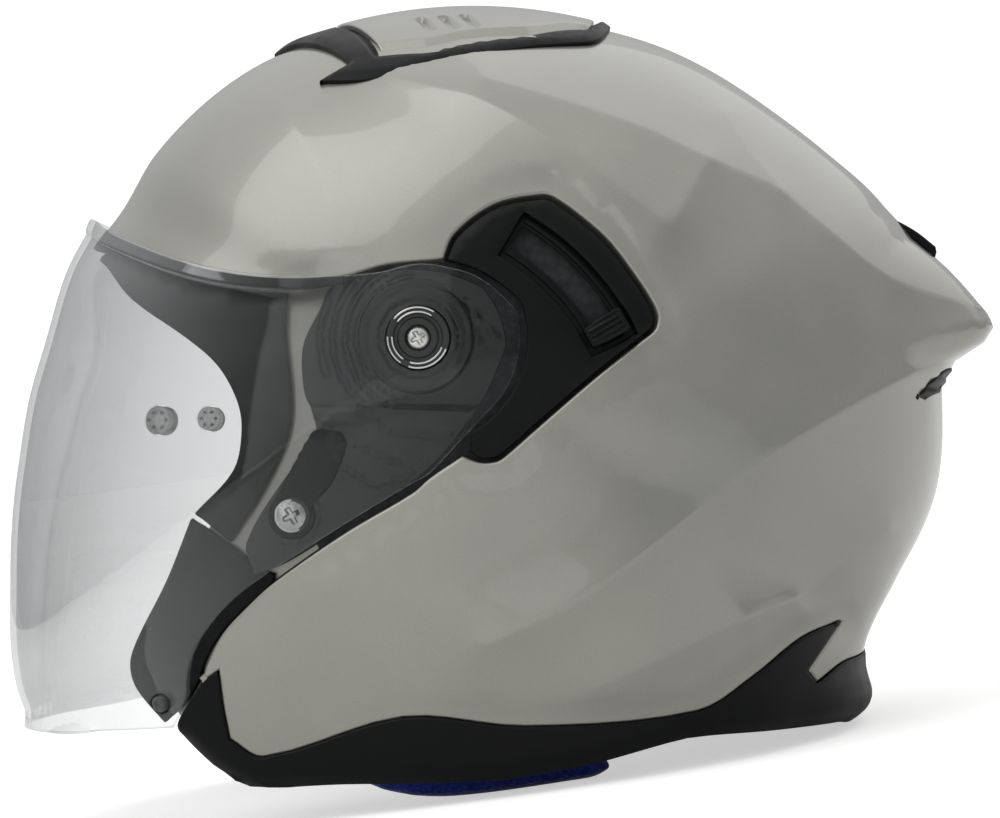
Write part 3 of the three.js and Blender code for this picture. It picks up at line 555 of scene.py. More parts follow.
class Shade:
    """A Principled material with helpers that add nodes to it."""

    def __init__(self, name, slot=None):
        self.material = bpy.data.materials.new(name)
        self.material.use_nodes = True
        self.tree = self.material.node_tree
        self.shader = self.tree.nodes["Principled BSDF"]
        self.out = self.tree.nodes["Material Output"]
        self.place = self.node("ShaderNodeTexCoord").outputs["Object"]

    def node(self, kind, sockets=(), **values):
        """A new node: sockets gives numbers and colours of its inputs, values its own settings."""
        made = self.tree.nodes.new(kind)
        for key, value in values.items():
            setattr(made, key, value)
        for key, value in dict(sockets).items():
            made.inputs[key].default_value = value
        return made

    def join(self, a, b):
        self.tree.links.new(a, b)

    def set(self, **values):
        for key, value in values.items():
            self.shader.inputs[key.replace("_", " ")].default_value = value
        return self

    def noise(self, scale, detail=3.0, rough=0.55, stretch=None):
        made = self.node("ShaderNodeTexNoise",
                         {"Scale": scale, "Detail": detail, "Roughness": rough})
        source = self.place
        if stretch:
            mapping = self.node("ShaderNodeMapping", {"Scale": stretch})
            self.join(source, mapping.inputs["Vector"])
            source = mapping.outputs["Vector"]
        self.join(source, made.inputs["Vector"])
        return made.outputs["Fac"]

    def cells(self, scale):
        made = self.node("ShaderNodeTexVoronoi", {"Scale": scale})
        self.join(self.place, made.inputs["Vector"])
        return made.outputs["Distance"]

    def ramp(self, value, *stops):
        made = self.node("ShaderNodeValToRGB")
        while len(made.color_ramp.elements) < len(stops):
            made.color_ramp.elements.new(0.5)
        for element, (at, colour) in zip(made.color_ramp.elements, stops):
            element.position = at
            element.color = colour if len(colour) == 4 else (*colour, 1.0)
        self.join(value, made.inputs["Fac"])
        return made.outputs["Color"]

    def span(self, value, low, high, start=0.0, stop=1.0):
        made = self.node("ShaderNodeMapRange", {"From Min": start, "From Max": stop,
                                                "To Min": low, "To Max": high})
        self.join(value, made.inputs["Value"])
        return made.outputs["Result"]

    def math(self, kind, *terms):
        made = self.node("ShaderNodeMath", operation=kind)
        for socket, value in zip(made.inputs, terms):
            if isinstance(value, (int, float)):
                socket.default_value = value
            else:
                self.join(value, socket)
        return made.outputs["Value"]

    def sum_of(self, *terms):
        """The sum of values, each with its own factor."""
        parts = [self.math("MULTIPLY", value, factor) for value, factor in terms]
        total = parts[0]
        for part in parts[1:]:
            total = self.math("ADD", total, part)
        return total

    def colour(self, value, *stops):
        self.join(self.ramp(value, *stops), self.shader.inputs["Base Color"])
        return self

    def rough(self, value, low, high):
        self.join(self.span(value, low, high, 0.3, 0.7), self.shader.inputs["Roughness"])
        return self

    def bump(self, value, distance, strength=1.0, onto=None):
        made = self.node("ShaderNodeBump", {"Distance": distance, "Strength": strength})
        self.join(value, made.inputs["Height"])
        if onto:
            self.join(onto, made.inputs["Normal"])
        return made.outputs["Normal"]

    def normal(self, value):
        self.join(value, self.shader.inputs["Normal"])
        return self.material

    def blend(self, kind, first, second, share=None):
        """Mixes or adds two shaders and makes the outcome the surface."""
        made = self.node(kind)
        pair = list(made.inputs)[-2:]
        self.join(first, pair[0])
        self.join(second, pair[1])
        if share:
            self.join(share, made.inputs["Fac"])
        self.join(made.outputs["Shader"], self.out.inputs["Surface"])


def paint():
    """Metallic silver-beige lacquer: flakes and a slight mottle under a clear coat."""
    m = Shade("shell_paint")
    m.set(Metallic=0.6, Coat_Weight=1.0, Coat_Roughness=0.05, Coat_IOR=1.5)
    broad, flake = m.noise(9, 3), m.noise(5200, 1)
    m.colour(m.sum_of((broad, 0.55), (flake, 0.45)), (0.3, linear(138, 138, 131)),
             (0.5, linear(151, 150, 142)), (0.7, linear(168, 165, 156)))
    m.rough(m.noise(36, 4), 0.33, 0.4)
    return m.normal(m.bump(flake, 0.00002, 0.35))


def plastic(name, dark, light, low, high, grain=2600, depth=0.00003, shine=0.15):
    """Moulded plastic: fine spark-eroded grain, uneven sheen and a few pale rubs."""
    m = Shade(name)
    broad, fine = m.noise(28, 4), m.noise(grain, 2)
    rub = m.span(m.noise(90, 5, 0.65, (1.0, 0.35, 1.0)), 0, 1, 0.6, 0.72)
    m.colour(m.sum_of((broad, 0.8), (fine, 0.2), (rub, 0.12)), (0.3, dark), (0.75, light))
    m.rough(m.noise(60, 4), low, high)
    m.set(Specular_IOR_Level=shine)
    return m.normal(m.bump(fine, depth, 0.35))


def rubber():
    m = Shade("gasket_rubber")
    broad, fine = m.noise(22, 4), m.noise(3600, 3)
    dust = m.span(m.noise(140, 5, 0.7), 0, 0.3, 0.52, 0.7)
    m.colour(m.math("ADD", m.math("MULTIPLY", broad, 0.7), dust),
             (0.25, linear(12, 15, 14)), (0.8, linear(32, 34, 33)))
    m.rough(m.noise(45, 3), 0.62, 0.8)
    m.set(Specular_IOR_Level=0.2)
    return m.normal(m.bump(fine, 0.00004, 0.4))


def clear_lens(name, tint, passed, shine, hairlines, mirror, slot=None):
    """Moulded lens: what is behind it, tinted, under a hard coat with faint wiping lines."""
    m = Shade(name, slot)
    see = m.node("ShaderNodeBsdfTransparent", {"Color": (*passed, 1.0)})
    lines = m.noise(700, 4, 0.6, (1.0, 0.06, 1.0))
    cloud = m.noise(14, 3)
    m.colour(cloud, (0.3, tint), (0.7, tuple(min(1.0, c * 1.1) for c in tint)))
    m.join(m.span(lines, 0.015, hairlines, 0.45, 0.75), m.shader.inputs["Roughness"])
    m.set(Specular_IOR_Level=0.6, Metallic=mirror)
    edge = m.node("ShaderNodeLayerWeight", {"Blend": 0.35})
    share = m.math("ADD", m.span(edge.outputs["Facing"], *shine),
                   m.span(cloud, -0.005, 0.008, 0.3, 0.7))
    m.blend("ShaderNodeMixShader", see.outputs["BSDF"], m.shader.outputs["BSDF"], share)
    return m.normal(m.bump(cloud, 0.00005, 0.15))


def knit(name, dark, light, sheen, scale=900):
    """Brushed knit: rows of small loops, with pilling and a soft sheen."""
    m = Shade(name)
    rows = m.node("ShaderNodeTexWave", {"Scale": scale / 3.2, "Distortion": 1.2},
                  wave_type="BANDS", bands_direction="DIAGONAL")
    m.join(m.place, rows.inputs["Vector"])
    weave = m.math("MULTIPLY", m.span(m.cells(scale), 1, 0, 0, 0.8),
                   m.span(rows.outputs["Fac"], 0.55, 1.0))
    m.colour(m.sum_of((weave, 0.5), (m.noise(30, 4, 0.6), 0.6)), (0.25, dark), (0.85, light))
    m.set(Roughness=0.92, Sheen_Weight=sheen, Sheen_Roughness=0.45, Specular_IOR_Level=0.2)
    fuzz = m.noise(1500, 4, 0.7)
    return m.normal(m.bump(fuzz, 0.0002, 0.5, m.bump(weave, 0.0004, 0.7)))


def foam():
    """Expanded foam: fused beads in dark grey, each a little proud."""
    m = Shade("liner_foam")
    beads = m.cells(330)
    m.colour(m.math("ADD", m.math("MULTIPLY", beads, 0.5), m.noise(40, 3)),
             (0.4, linear(52, 53, 55)), (1.0, linear(26, 27, 29)))
    m.set(Roughness=0.85, Specular_IOR_Level=0.3)
    return m.normal(m.bump(m.span(beads, 1, 0), 0.0004, 0.8))


def webbing():
    """Woven polyester tape: chevron yarns along the strap, read from its own coordinates."""
    m = Shade("webbing")
    uv = m.node("ShaderNodeUVMap", uv_map="tape").outputs["UV"]
    parts = m.node("ShaderNodeSeparateXYZ")
    m.join(uv, parts.inputs["Vector"])
    across, along = parts.outputs["X"], parts.outputs["Y"]
    bend = m.math("PINGPONG", across, 0.0036)
    diagonal = m.sum_of((along, 2200.0), (bend, 1500.0))
    yarn = m.math("ABSOLUTE", m.math("SINE", diagonal))
    column = m.math("ABSOLUTE", m.math("SINE", m.math("MULTIPLY", across, 2600.0)))
    weave = m.math("MULTIPLY", yarn, m.span(column, 0.5, 1.0))
    m.colour(m.sum_of((weave, 0.6), (m.noise(60), 0.4)),
             (0.2, linear(12, 13, 14)), (0.9, linear(48, 49, 51)))
    m.set(Roughness=0.8, Sheen_Weight=0.35, Sheen_Roughness=0.4, Specular_IOR_Level=0.3)
    return m.normal(m.bump(weave, 0.0003, 0.8))


def steel():
    """Zinc plated steel: fine drawn lines and dull patches."""
    m = Shade("steel")
    m.set(Metallic=1.0)
    drawn = m.noise(1600, 3, 0.6, (1.0, 0.05, 0.05))
    patch = m.noise(160, 4)
    m.colour(patch, (0.3, linear(186, 187, 186)), (0.7, linear(221, 221, 218)))
    m.rough(m.sum_of((drawn, 0.5), (patch, 0.5)), 0.16, 0.34)
    return m.normal(m.bump(drawn, 0.00002, 0.4))


PAINT = paint()
BLACK = plastic("black_plastic", linear(3, 6, 5), linear(12, 15, 14), 0.34, 0.46)
GREY = plastic("mechanism_plastic", linear(28, 31, 31), linear(44, 46, 46), 0.3, 0.42, 2600,
               0.00001, 0.45)
RED = plastic("latch_plastic", linear(126, 22, 20), linear(168, 40, 34), 0.34, 0.48, shine=0.4)
RUBBER = rubber()
CLEAR = clear_lens("visor_clear", linear(222, 225, 226), (0.925, 0.927, 0.93), (0.012, 0.55), 0.07,
                   1.0)
SMOKE = clear_lens("sun_visor_smoke", linear(14, 15, 17), (0.42, 0.425, 0.45), (0.1, 0.8), 0.12,
                   0.0)
PIN = clear_lens("pin_clear", linear(120, 122, 122), (0.8, 0.8, 0.8), (0.3, 0.8), 0.2, 0.0,
                 "visor_clear")
FOAM = foam()
KNIT = knit("liner_fabric", linear(18, 19, 21), linear(50, 51, 54), 0.35)
BLUE = knit("blue_fabric", linear(10, 26, 96), linear(38, 66, 168), 0.5, 760)
TAPE = webbing()
STEEL = steel()


# ---- outlines of the pieces, side view (y, z) -----------------------------------------------
POCKET_TOP = [
    (-170, 44), (-107, 33.5), (-91, 27.5), (-78, 22.8), (-66, 19.6), (-52, 17.6), (-38, 17.5),
    (-24, 19.5), (-10, 23.4), (5, 24.8), (8, 25.4), (11.6, 33.4), (24.2, 42.9), (39.3, 46.1),
    (43.4, 45.1), (52.8, 38.3), (60.8, 31), (68, 21.5), (73.6, 13), (76.1, 7.1), (75.2, 2.7),
    (70.7, -1.1), (55.5, -13.3), (37.3, -29), (27.5, -37.6), (24.8, -39.2), (19.6, -39.5),
    (14, -37.6)]
SILVER_EDGE = [
    (3.8, -44.5), (-1.6, -49.2), (-23.2, -62), (-46.5, -78.2), (-54.8, -85.7), (-63.3, -94.9),
    (-68.5, -104.9), (-70.3, -110.8)]
TRIM_TOP = [
    (-78.8, -124.6), (-70.3, -111.2), (-64.7, -106.9), (-63.3, -119), (-61.5, -129.2),
    (-50.5, -135), (-5, -121.2), (34, -124.1), (90, -120), (108.6, -109.2), (125.2, -97.7),
    (140.2, -93.2), (127.6, -108.7), (131, -113.2), (143.8, -107.1), (190, -107.1)]
TRIM_BOTTOM = [
    (190, rest_height(190)), (148.8, rest_height(148.8)), (141, -129), (120, -129.2),
    (87.7, -130.4), (56.7, -138.1), (26, -143.3), (-24.9, -145.1), (-55.9, -146.7),
    (-68.5, -139.6), (-78.6, -129.8)]
EYE_EDGE = [
    (-170, 31), (-112, 31), (-93, 17.5), (-75, 5.5), (-62, -6), (-54.5, -18), (-52.5, -29),
    (-55, -41), (-64, -54), (-76, -76), (-87, -97), (-89.5, -106), (-87.5, -113), (-79, -122)]
BROW_LINE = [
    (-12, 21), (-25, 19.7), (-38, 19.8), (-52, 20.6), (-66, 22.8), (-78.3, 26.1), (-91.2, 30.9),
    (-105.8, 37.4), (-115.4, 43.2), (-170, 60)]
COVER = [
    (8.6, 24.8), (12.4, 32.7), (24.6, 42), (39.3, 45.1), (42.9, 44.2), (52.1, 37.6), (60, 30.3),
    (67.2, 21), (72.7, 12.5), (75.1, 7), (74.4, 3.3), (70.1, -0.3), (54.9, -12.5),
    (36.7, -28.2), (27, -36.7), (24.6, -38.2), (19.8, -38.5), (16.5, -36.4),
    *arc((0, 0), 34.6, -60, 20, 12), (24.6, 18.4), (18.5, 21.9), (12.5, 23.9)]
VISOR_EDGE = [
    *arc((0, 0), 32.5, -35, 15, 8), (24.6, 15.5), (18.5, 19.7), (12.5, 21.8), (0, 23.6),
    *BROW_LINE[:-1], (-170, 60), (-170, -133), (-141, -132.2), (-106.4, -129.2),
    (-80.8, -126.5), (-75.5, -116.1), (-75.1, -109.3), (-72.8, -100.9), (-67.6, -92.4),
    (-59, -83.2), (-46.5, -74), (-21.8, -58.4), (-1.6, -46.1), (3.4, -43.4), (14.3, -31.9)]
GASKET_FRONT = [
    (-170, 28.5), (-113.6, 28.5), (-96.1, 13.4), (-77.8, 1.4), (-65.7, -8.4), (-58.9, -19.7),
    (-57.2, -29.3), (-59.8, -42.1), (-72.6, -56)]
GASKET_BACK = [
    (-60.8, -65.3), (-51.2, -50.7), (-42.5, -32.5), (-41, -19.7), (-43.4, 2.7), (-43, 15),
    (-52, 16.4), (-66, 18.4), (-78, 21.6), (-91, 26.3), (-107, 32.3), (-170, 42)]
CHEEK_TRIM = [
    (-73.8, -57.6), (-82.1, -77.8), (-92.5, -97.6), (-95.1, -106), (-92.9, -114.2),
    (-83.5, -125.2), (-76.6, -118.6), (-71.7, -111), (-69.8, -105.2), (-64.5, -95.8),
    (-56, -86.7), (-47.6, -79.2), (-46, -76), (-51, -73.4), (-60.8, -66.4)]
PLATE = [
    *arc((0, -3), 28, 0, 45, 6), (6, 21.6), (-10, 21.8), (-24, 18.2), (-28.8, 16.4), (-32.1, 9),
    (-37.2, -2.2), (-36.8, -16.5), (-33.8, -24.5), (-31.9, -32.5), (-40.9, -42),
    (-55.5, -65.6), (-53, -76), (-42, -71.6), (-23.2, -59.6), (-5.7, -48.4), (5, -40),
    (19.7, -21.3)]
BASE_SCREW = (-40.6, -56.7)
RELEASE = [*arc(BASE_SCREW, 7.6, 135, 385, 14), (-27.5, -46), (-23, -34), (-25, -30),
           (-33, -29), (-36, -33)]
LINER = [
    (-140, 30), (-100, 26), (-70, 8), (-50, -10), (-42, -30), (-42, -44), (-38, -56),
    (-28, -74), (30, -84), (56, -90), (100, -90), (122, -82), (240, -82), (240, 170),
    (-140, 170)]
CHEEK_PAD = [
    (-45, -50), (-58, -58), (-66, -72), (-78, -94), (-82, -106), (-78, -117), (-66, -124),
    (-20, -125), (12, -122), (20, -110), (16, -88), (-30, -79), (-41, -60)]
NECK_PAD = [
    (-24, -134), (-23, -143), (-8, -148.4), (12, rest_height(12)), (59, rest_height(59)),
    (64, -134), (40, -130), (0, -130)]
CROWN_PAD = [
    (-110, 24), (-70, 10), (-40, -12), (20, -34), (80, -60), (150, -64), (150, 130),
    (-110, 130)]
# Places of the anti-fog pins and of the visor's catches.
PINLOCK, STUD = (-84, -26.2), (-84.5, -118.5)
KNOB_RADIUS, KNOB_ANGLE = 84, 30
# Depth of the mechanism's pocket in the shell, and a place behind everything.
POCKET, FAR_BACK = 8.0, 240


# ---- painted shell --------------------------------------------------------------------------
# Character lines: polyline in side view, height, and how far the slope reaches on each side.
CREASES = [
    ([(-7, 83.7), (19.5, 74.7), (47.6, 58.5), (76.2, 36.9)], 3.0, 16, 8),
    ([(20.4, 80.8), (71.4, 65.6), (90.8, 55.8), (115, 45.5), (147.5, 22.4), (182.4, 1.5)],
     3.3, 14, 12),
    ([(99.4, 72.5), (104.5, 61.1), (115, 46.5)], 1.7, 10, 10),
    ([(90.8, 54.8), (80.4, 35.7)], 1.5, 9, 9),
    ([(21.9, -96.9), (53.6, -81), (92.1, -50.7), (122.7, -30.3), (156.2, -13), (180, -5.5)],
     3.2, 13, 13),
    ([(92.1, -60.3), (92.2, -73.1), (102.3, -89.5)], 1.5, 9, 9),
    ([(60.1, -109), (102.3, -89.5), (119.3, -83.7), (152.2, -61.8)], 2.6, 11, 11),
    ([(119.3, -84.7), (132.4, -95.4)], 1.3, 8, 8),
    ([(-45.3, 77.5), (-30, 47.3), (-29.5, 27.4)], 0.9, 11, 11),
]
# A broad low swell behind the mechanism.
SOFT_ARC = [(79, 5.7), (88.7, -17.5), (89.7, -45.2), (76.9, -60.1), (42.8, -82.2),
            (4.7, -85.5), (-27.2, -79.3)]
# The rear wing: its rise by angle round the shell's centre, and where it fades off the mid-plane.
WING_PROFILE = [(2.3, 0), (5.3, 4.2), (7.2, 14.8), (8.8, 18.4), (9.7, 18.0), (12.3, 14.6),
                (17.35, 9.2), (23, 2.2), (28.3, 0)]
WING_REACH, WING_FADE = 74, 46
# Behind TIP_START the character lines fade out.
TIP_START, TIP_FADE = 184, 16


def beside(line, distance):
    """The open line moved sideways."""
    p = np.asarray(line, float)
    ahead = unit(np.gradient(p, axis=0))
    return p + np.stack([-ahead[:, 1], ahead[:, 0]], 1) * distance


def shell_height(p):
    side = p[:, 1:]
    total = np.zeros(len(p))
    for line, height, left, right in CREASES:
        d, which = to_line(side, curve(line))
        reach = right + (left - right) * (1 + which) / 2
        total += height * np.exp(-(np.sqrt(d * d + 0.8) - 0.9) / reach)
    d = off_curve(p, SOFT_ARC)
    total += 1.1 * np.exp(-(np.sqrt(d * d + 16) - 4) / 17)
    off = side - SHELL.centre
    degrees = np.degrees(np.arctan2(off[:, 1], off[:, 0]))
    angles, heights = zip(*WING_PROFILE)
    rise = np.interp(degrees, angles, heights)
    near_edge = smooth((to_line(side, POCKET_LINE)[0] - 1) / 9)
    trim = smooth((to_line(side, TRIM_TOP)[0] - 1) / 9)
    tip = smooth((TIP_START - p[:, 1]) / TIP_FADE)
    return total * near_edge * trim * tip + rise * smooth((WING_REACH - np.abs(p[:, 0])) / WING_FADE)


POCKET_LINE = rounded(POCKET_TOP + SILVER_EDGE, 50, False)


def shell_wall(p, _):
    return 4 + (POCKET - 3.4) * (1 - smooth(to_line(p[:, 1:], POCKET_LINE)[0] / 5))


skin_edge = POCKET_TOP + SILVER_EDGE + TRIM_TOP[1:] + [(FAR_BACK, -107.1), (FAR_BACK, 170),
                                                        (-170, 170)]
wing_lines = [[polar(118, d, SHELL.centre), polar(143.6, d, SHELL.centre)]
              for d in (2.3, 3.8, 5.3, 7.2, 8.8, 10.5, 12.3)]
crease_lines = [beside(c[0], d) for c in CREASES for d in (-3.2, -1.0, 0, 1.0, 3.2)]
skin = panel(SHELL, skin_edge, 0, shell_wall, 1.1, 3.0, shell_height, crease_lines + wing_lines,
             both=True)
floor_edge = POCKET_TOP + SILVER_EDGE + [(-78.8, -124.6)] + EYE_EDGE[::-1]
floor_patch = panel(SHELL, floor_edge, -POCKET, 2.4, 0.6, 3.4, both=True)
place("shell_skin", skin + floor_patch, PAINT, "shell", ["outer_shell"])


# ---- black and rubber trims -----------------------------------------------------------------
def trim_height(p):
    d, _ = to_line(p[:, 1:], TRIM_BOTTOM)
    tail = smooth((p[:, 1] - 122) / 26) * ridge(p[:, 2], -121, 7.5)
    return 4 * tail - np.maximum(7 - d, 0) ** 2 / 14


trim = panel(SHELL, TRIM_TOP + TRIM_BOTTOM, 0.8, 11.8, 0.9, 2.6, trim_height, both=True)
place("lower_rim_trim", trim, BLACK, "shell", ["lower_trim"])


def gasket_height(p):
    d = off_curve(p, GASKET_BACK[:6])
    ribs = 0.55 * ridge(d, 3.2, 0.7) + 0.45 * ridge(d, 6.4, 0.8)
    return ribs * (p[:, 2] < 14) + 0.9 * ridge(off_curve(p, GASKET_FRONT), 1.6, 1.3)


gasket = panel(SHELL, GASKET_FRONT + GASKET_BACK, -4.6, 3, 0.7, 1.9, gasket_height, both=True)
place("eye_port_seal", gasket, RUBBER, "shell", ["eye_port_gasket"])

brow_strip = panel(
    SHELL, [(-24, 20), (-38, 19.3), (-52, 20), (-66, 22.2), (-78.3, 25.5), (-91.2, 30.3),
            (-105.8, 36.8), (-115.4, 42.6), (-170, 59.4), (-170, 42), (-107, 31.5), (-91, 25.5),
            (-78, 20.8), (-66, 17.6), (-52, 15.6), (-38, 15.5), (-24, 17.3)],
    0.4, 1.2, 0.3, 1.8, both=True, low_edge=0.2)
place("brow_seal_strip", brow_strip, RUBBER, "shell", [])


def cheek_height(p):
    front, back = off_curve(p, CHEEK_TRIM[:6]), off_curve(p, CHEEK_TRIM[8:12])
    return ridge(front, 1.8, 1.5) - 0.5 * ridge(back, 4, 1.2)


cheek_seal = panel(SHELL, CHEEK_TRIM, -5, 2.6, 0.8, 2.2, cheek_height)
for name, side in SIDES:
    place(f"cheek_seal_{name}", cheek_seal, RUBBER, "shell", [f"cheek_trim_{name}"], side)


# ---- side covers with the sun visor slider --------------------------------------------------
def cover_height(p):
    return -np.maximum(3.2 - off_curve(p, COVER[:18]), 0) ** 2 / 9


# Slots round the sun visor's pivot: inner and outer radius, and the angles they run between.
slider_well = sector(76, 92, 26, 59.5)
stem_slit = sector(80, 88, 27, 58.5)


def left_height(p):
    well, _ = to_line(p[:, 1:], slider_well + slider_well[:1])
    return cover_height(p) - 0.5 * ridge(well, 0, 1.6)


left_cover = panel(SHELL, COVER, 0.8, 2.6, 0.7, 1.8, left_height, holes=[slider_well])
left_cover += panel(SHELL, sector(74.5, 93.5, 24.5, 61), -2.4, 1.0, 0.3, 2.2, holes=[stem_slit])
for rail in (77.6, 89.2):
    left_cover += panel(SHELL, sector(rail, rail + 1.3, 27, 58.5), -1.6, 0.9, 0.25, 1.1)
place("hinge_cover_left", left_cover, BLACK, "shell", ["side_cover_left"])
right_cover = panel(SHELL, COVER, 0.8, 2.6, 0.7, 1.8, cover_height)
place("hinge_cover_right", right_cover, BLACK, "shell", ["side_cover_right"], -1)


def knob_outline(length, width):
    half = math.degrees(width / 2 / KNOB_RADIUS)
    near, far = KNOB_RADIUS - length / 2, KNOB_RADIUS + length / 2
    return [polar(near, KNOB_ANGLE - half), polar(far, KNOB_ANGLE - half),
            polar(far, KNOB_ANGLE + half), polar(near, KNOB_ANGLE + half)]


def knob_height(p):
    off = p[:, 1:] - np.array(SUN_PIVOT)
    r = np.hypot(off[:, 0], off[:, 1]) - KNOB_RADIUS
    a = np.radians(KNOB_ANGLE)
    across = -off[:, 0] * math.sin(a) + off[:, 1] * math.cos(a)
    grip = 0.35 * np.cos(across * 2 * math.pi / 1.7)
    return grip * smooth((6.2 - np.abs(r)) / 0.8) - np.maximum(np.abs(r) - 4.5, 0) ** 2 * 0.12


knob = panel(Flat(126.4), knob_outline(14, 7), 0, 7.4, 0.7, 0.42, knob_height, sharp=30)
stem = panel(Flat(119.6), knob_outline(5, 4), 0, 18, 0.4, 1.0, sharp=30)
place("sun_visor_knob", knob + stem, BLACK, "sun_visor", ["slider_knob"])


# ---- crown vent -----------------------------------------------------------------------------
FRAME_PLAN = [
    (0, -54), (37, -40), (71, -25), (76, -35), (82, -22), (84, -9), (81, 3), (78, 15), (71, 33),
    (59, 56), (48, 61.5), (24, 64.5), (0, 65)]
COVER_PLAN = [
    (0, -31.5), (30, -25), (70, -13), (72, 2), (67, 15), (59, 38), (43, 55), (14, 58.5), (0, 59)]


def whole(half):
    return half + [(-x, y) for x, y in reversed(half) if x > 0]


half_frame = resample(rounded(FRAME_PLAN, 40, False), 2.0, False)
frame_q = SHELL.q_search(half_frame[:, 0], half_frame[:, 1], 1, 12, 172, 3.2)
first, last = (math.degrees(math.atan2(v, u)) for u, v in (frame_q[0], frame_q[-1]))
outside = SHELL.q_polar(np.linspace(last, first, 40), np.zeros(40)) * 1.06
frame_loop = np.concatenate([frame_q, outside])


def frame_height(p):
    plan = np.stack([np.abs(p[:, 0]), p[:, 1]], 1)
    d, _ = to_line(plan, COVER_PLAN)
    inside = contains([np.array(whole(COVER_PLAN))], p[:, :2])
    below = TRACK.gap(p, -5.2)
    reach = np.where(inside, d, -d)
    under = np.clip(below, -2.2, 5.5)
    share = smooth((reach + 3.4) / 2.4)
    edge, _ = to_line(plan, half_frame)
    return share * under - 1.2 * ridge(edge, 0, 2.0) * (1 - share)


frame_part = panel(SHELL, frame_loop, 3.2, 2.8, 0.7, 2.0, frame_height, both=True, in_q=True,
                   smooth_line=False)
place("crown_vent_frame", frame_part, BLACK, "shell", ["top_vent_frame"])

# Sunk grooves of the cover, its outer edge that falls away, and the fold where that starts.
NOTCHES = [((44, -1), (57, 2.8)), ((44, 6.6), (57, 10.6)), ((43, 13.6), (55.5, 17.6))]
COVER_SIDE = [(70, -13), (72, 2), (67, 15), (59, 38), (43, 55)]
COVER_FOLD = [(62, -13.5), (65.6, 2), (60.8, 13.2), (53.2, 35), (38.5, 50.4)]


def cover_top(p):
    plan = np.stack([np.abs(p[:, 0]), p[:, 1]], 1)
    total = np.zeros(len(p))
    for a, b in NOTCHES:
        d, _ = to_line(plan, [a, b])
        total -= 1.7 * (1 - smooth((d - 1.1) / 0.8))
    edge, _ = to_line(plan, COVER_SIDE)
    return total - 3.4 * np.clip(1 - edge / 6.5, 0, 1)


cover_lines = [COVER_FOLD] + [beside(notch, d) for notch in NOTCHES for d in (-1.9, -1.1, 1.1, 1.9)]
cover_lines += [[(-x, y) for x, y in line] for line in cover_lines]
cover_part = panel(TRACK, whole(COVER_PLAN), 0, 2.4, 0.9, 1.2, cover_top, cover_lines, sharp=40)
place("crown_vent_slider", cover_part, PAINT, "vent_cover", ["top_vent_cover"])


# ---- visor ----------------------------------------------------------------------------------
FACET = [(-103, 8), (-119, -57), (-118, -112)]
HUB_BORE = 10.4


def visor_height(p):
    brow = off_curve(p, BROW_LINE)
    lip = 1.1 * (1 - smooth((brow - 4.2) / 1.4)) * smooth((-14 - p[:, 1]) / 10)
    slope = np.interp(p[:, 1], [-170, -112], [-129.6, -127.4])
    foot = 2.4 * smooth((slope - p[:, 2]) / 2.6) * smooth((-106 - p[:, 1]) / 8)
    facet, _ = to_line(p[:, 1:], FACET)
    return lip + foot + 0.7 * np.exp(-np.sqrt(facet**2 + 2) / 14)


lip_lines = [beside(BROW_LINE[2:], d) for d in (3.6, 4.2, 4.9, 5.6)]
visor_part = panel(
    VISOR, VISOR_EDGE, 0, 2.2, 0.6, 2.8, visor_height, [FACET] + lip_lines,
    holes=[arc((0, 0), HUB_BORE, 0, 350, 35), arc(PINLOCK, 5, 0, 340, 17),
           arc(STUD, 3.2, 0, 330, 11)],
    both=True)
place("face_visor", visor_part, CLEAR, "visor", ["visor_lens"])


def surface_normal(form, y, z, off=0.0):
    """The point of the form over a side-view point, and its normal there."""
    q = form.q([(y, z)], off)
    return form.at(q, off)[0], slope_normal(lambda u: form.at(u, off), q)[0]


# A lathe profile that starts farther out than this closes as a ring round an open bore.
RING_BORE = 4.0


def turned(profile, centre, axis, steps=40):
    """Lathe of (radius, height) pairs round an axis: a solid, or a ring round an open bore."""
    axis = unit(np.asarray(axis, float))
    u = unit(np.cross(axis, (0.0, 0.0, 1.0) if abs(axis[2]) < 0.9 else (0.0, 1.0, 0.0)))
    v = np.cross(axis, u)
    prof = np.asarray(profile, float)
    d = np.gradient(prof, axis=0)
    nr, nh = d[:, 1], -d[:, 0]
    a = np.linspace(0, 2 * math.pi, steps, endpoint=False)
    ring = np.cos(a)[:, None] * u + np.sin(a)[:, None] * v
    points = (np.asarray(centre, float) + prof[:, 0, None, None] * ring
              + prof[:, 1, None, None] * axis).reshape(-1, 3)
    normals = unit(nr[:, None, None] * ring + nh[:, None, None] * axis).reshape(-1, 3)
    faces = []
    n = len(prof)
    for i in range(n - 1):
        for k in range(steps):
            m = (k + 1) % steps
            faces.append((i * steps + k, i * steps + m, (i + 1) * steps + m, (i + 1) * steps + k))
    if prof[0, 0] > RING_BORE:
        faces += [((n - 1) * steps + k, (n - 1) * steps + (k + 1) % steps, (k + 1) % steps, k)
                  for k in range(steps)]
    else:
        faces.append(tuple(range(steps))[::-1])
        faces.append(tuple((n - 1) * steps + k for k in range(steps)))
    return Part(points, normals, faces)


def bead(profile, r=0.35, cuts=3):
    """The lathe profile with its corners rounded."""
    p = np.asarray(profile, float)
    made = [p[0]]
    for a, b, c in zip(p[:-2], p[1:-1], p[2:]):
        m, n = min(r, np.linalg.norm(a - b) / 2), min(r, np.linalg.norm(c - b) / 2)
        start, stop = b + unit(a - b) * m, b + unit(c - b) * n
        for k in range(cuts + 1):
            t = k / cuts
            made.append((1 - t) ** 2 * start + 2 * t * (1 - t) * b + t * t * stop)
    made.append(p[-1])
    return made


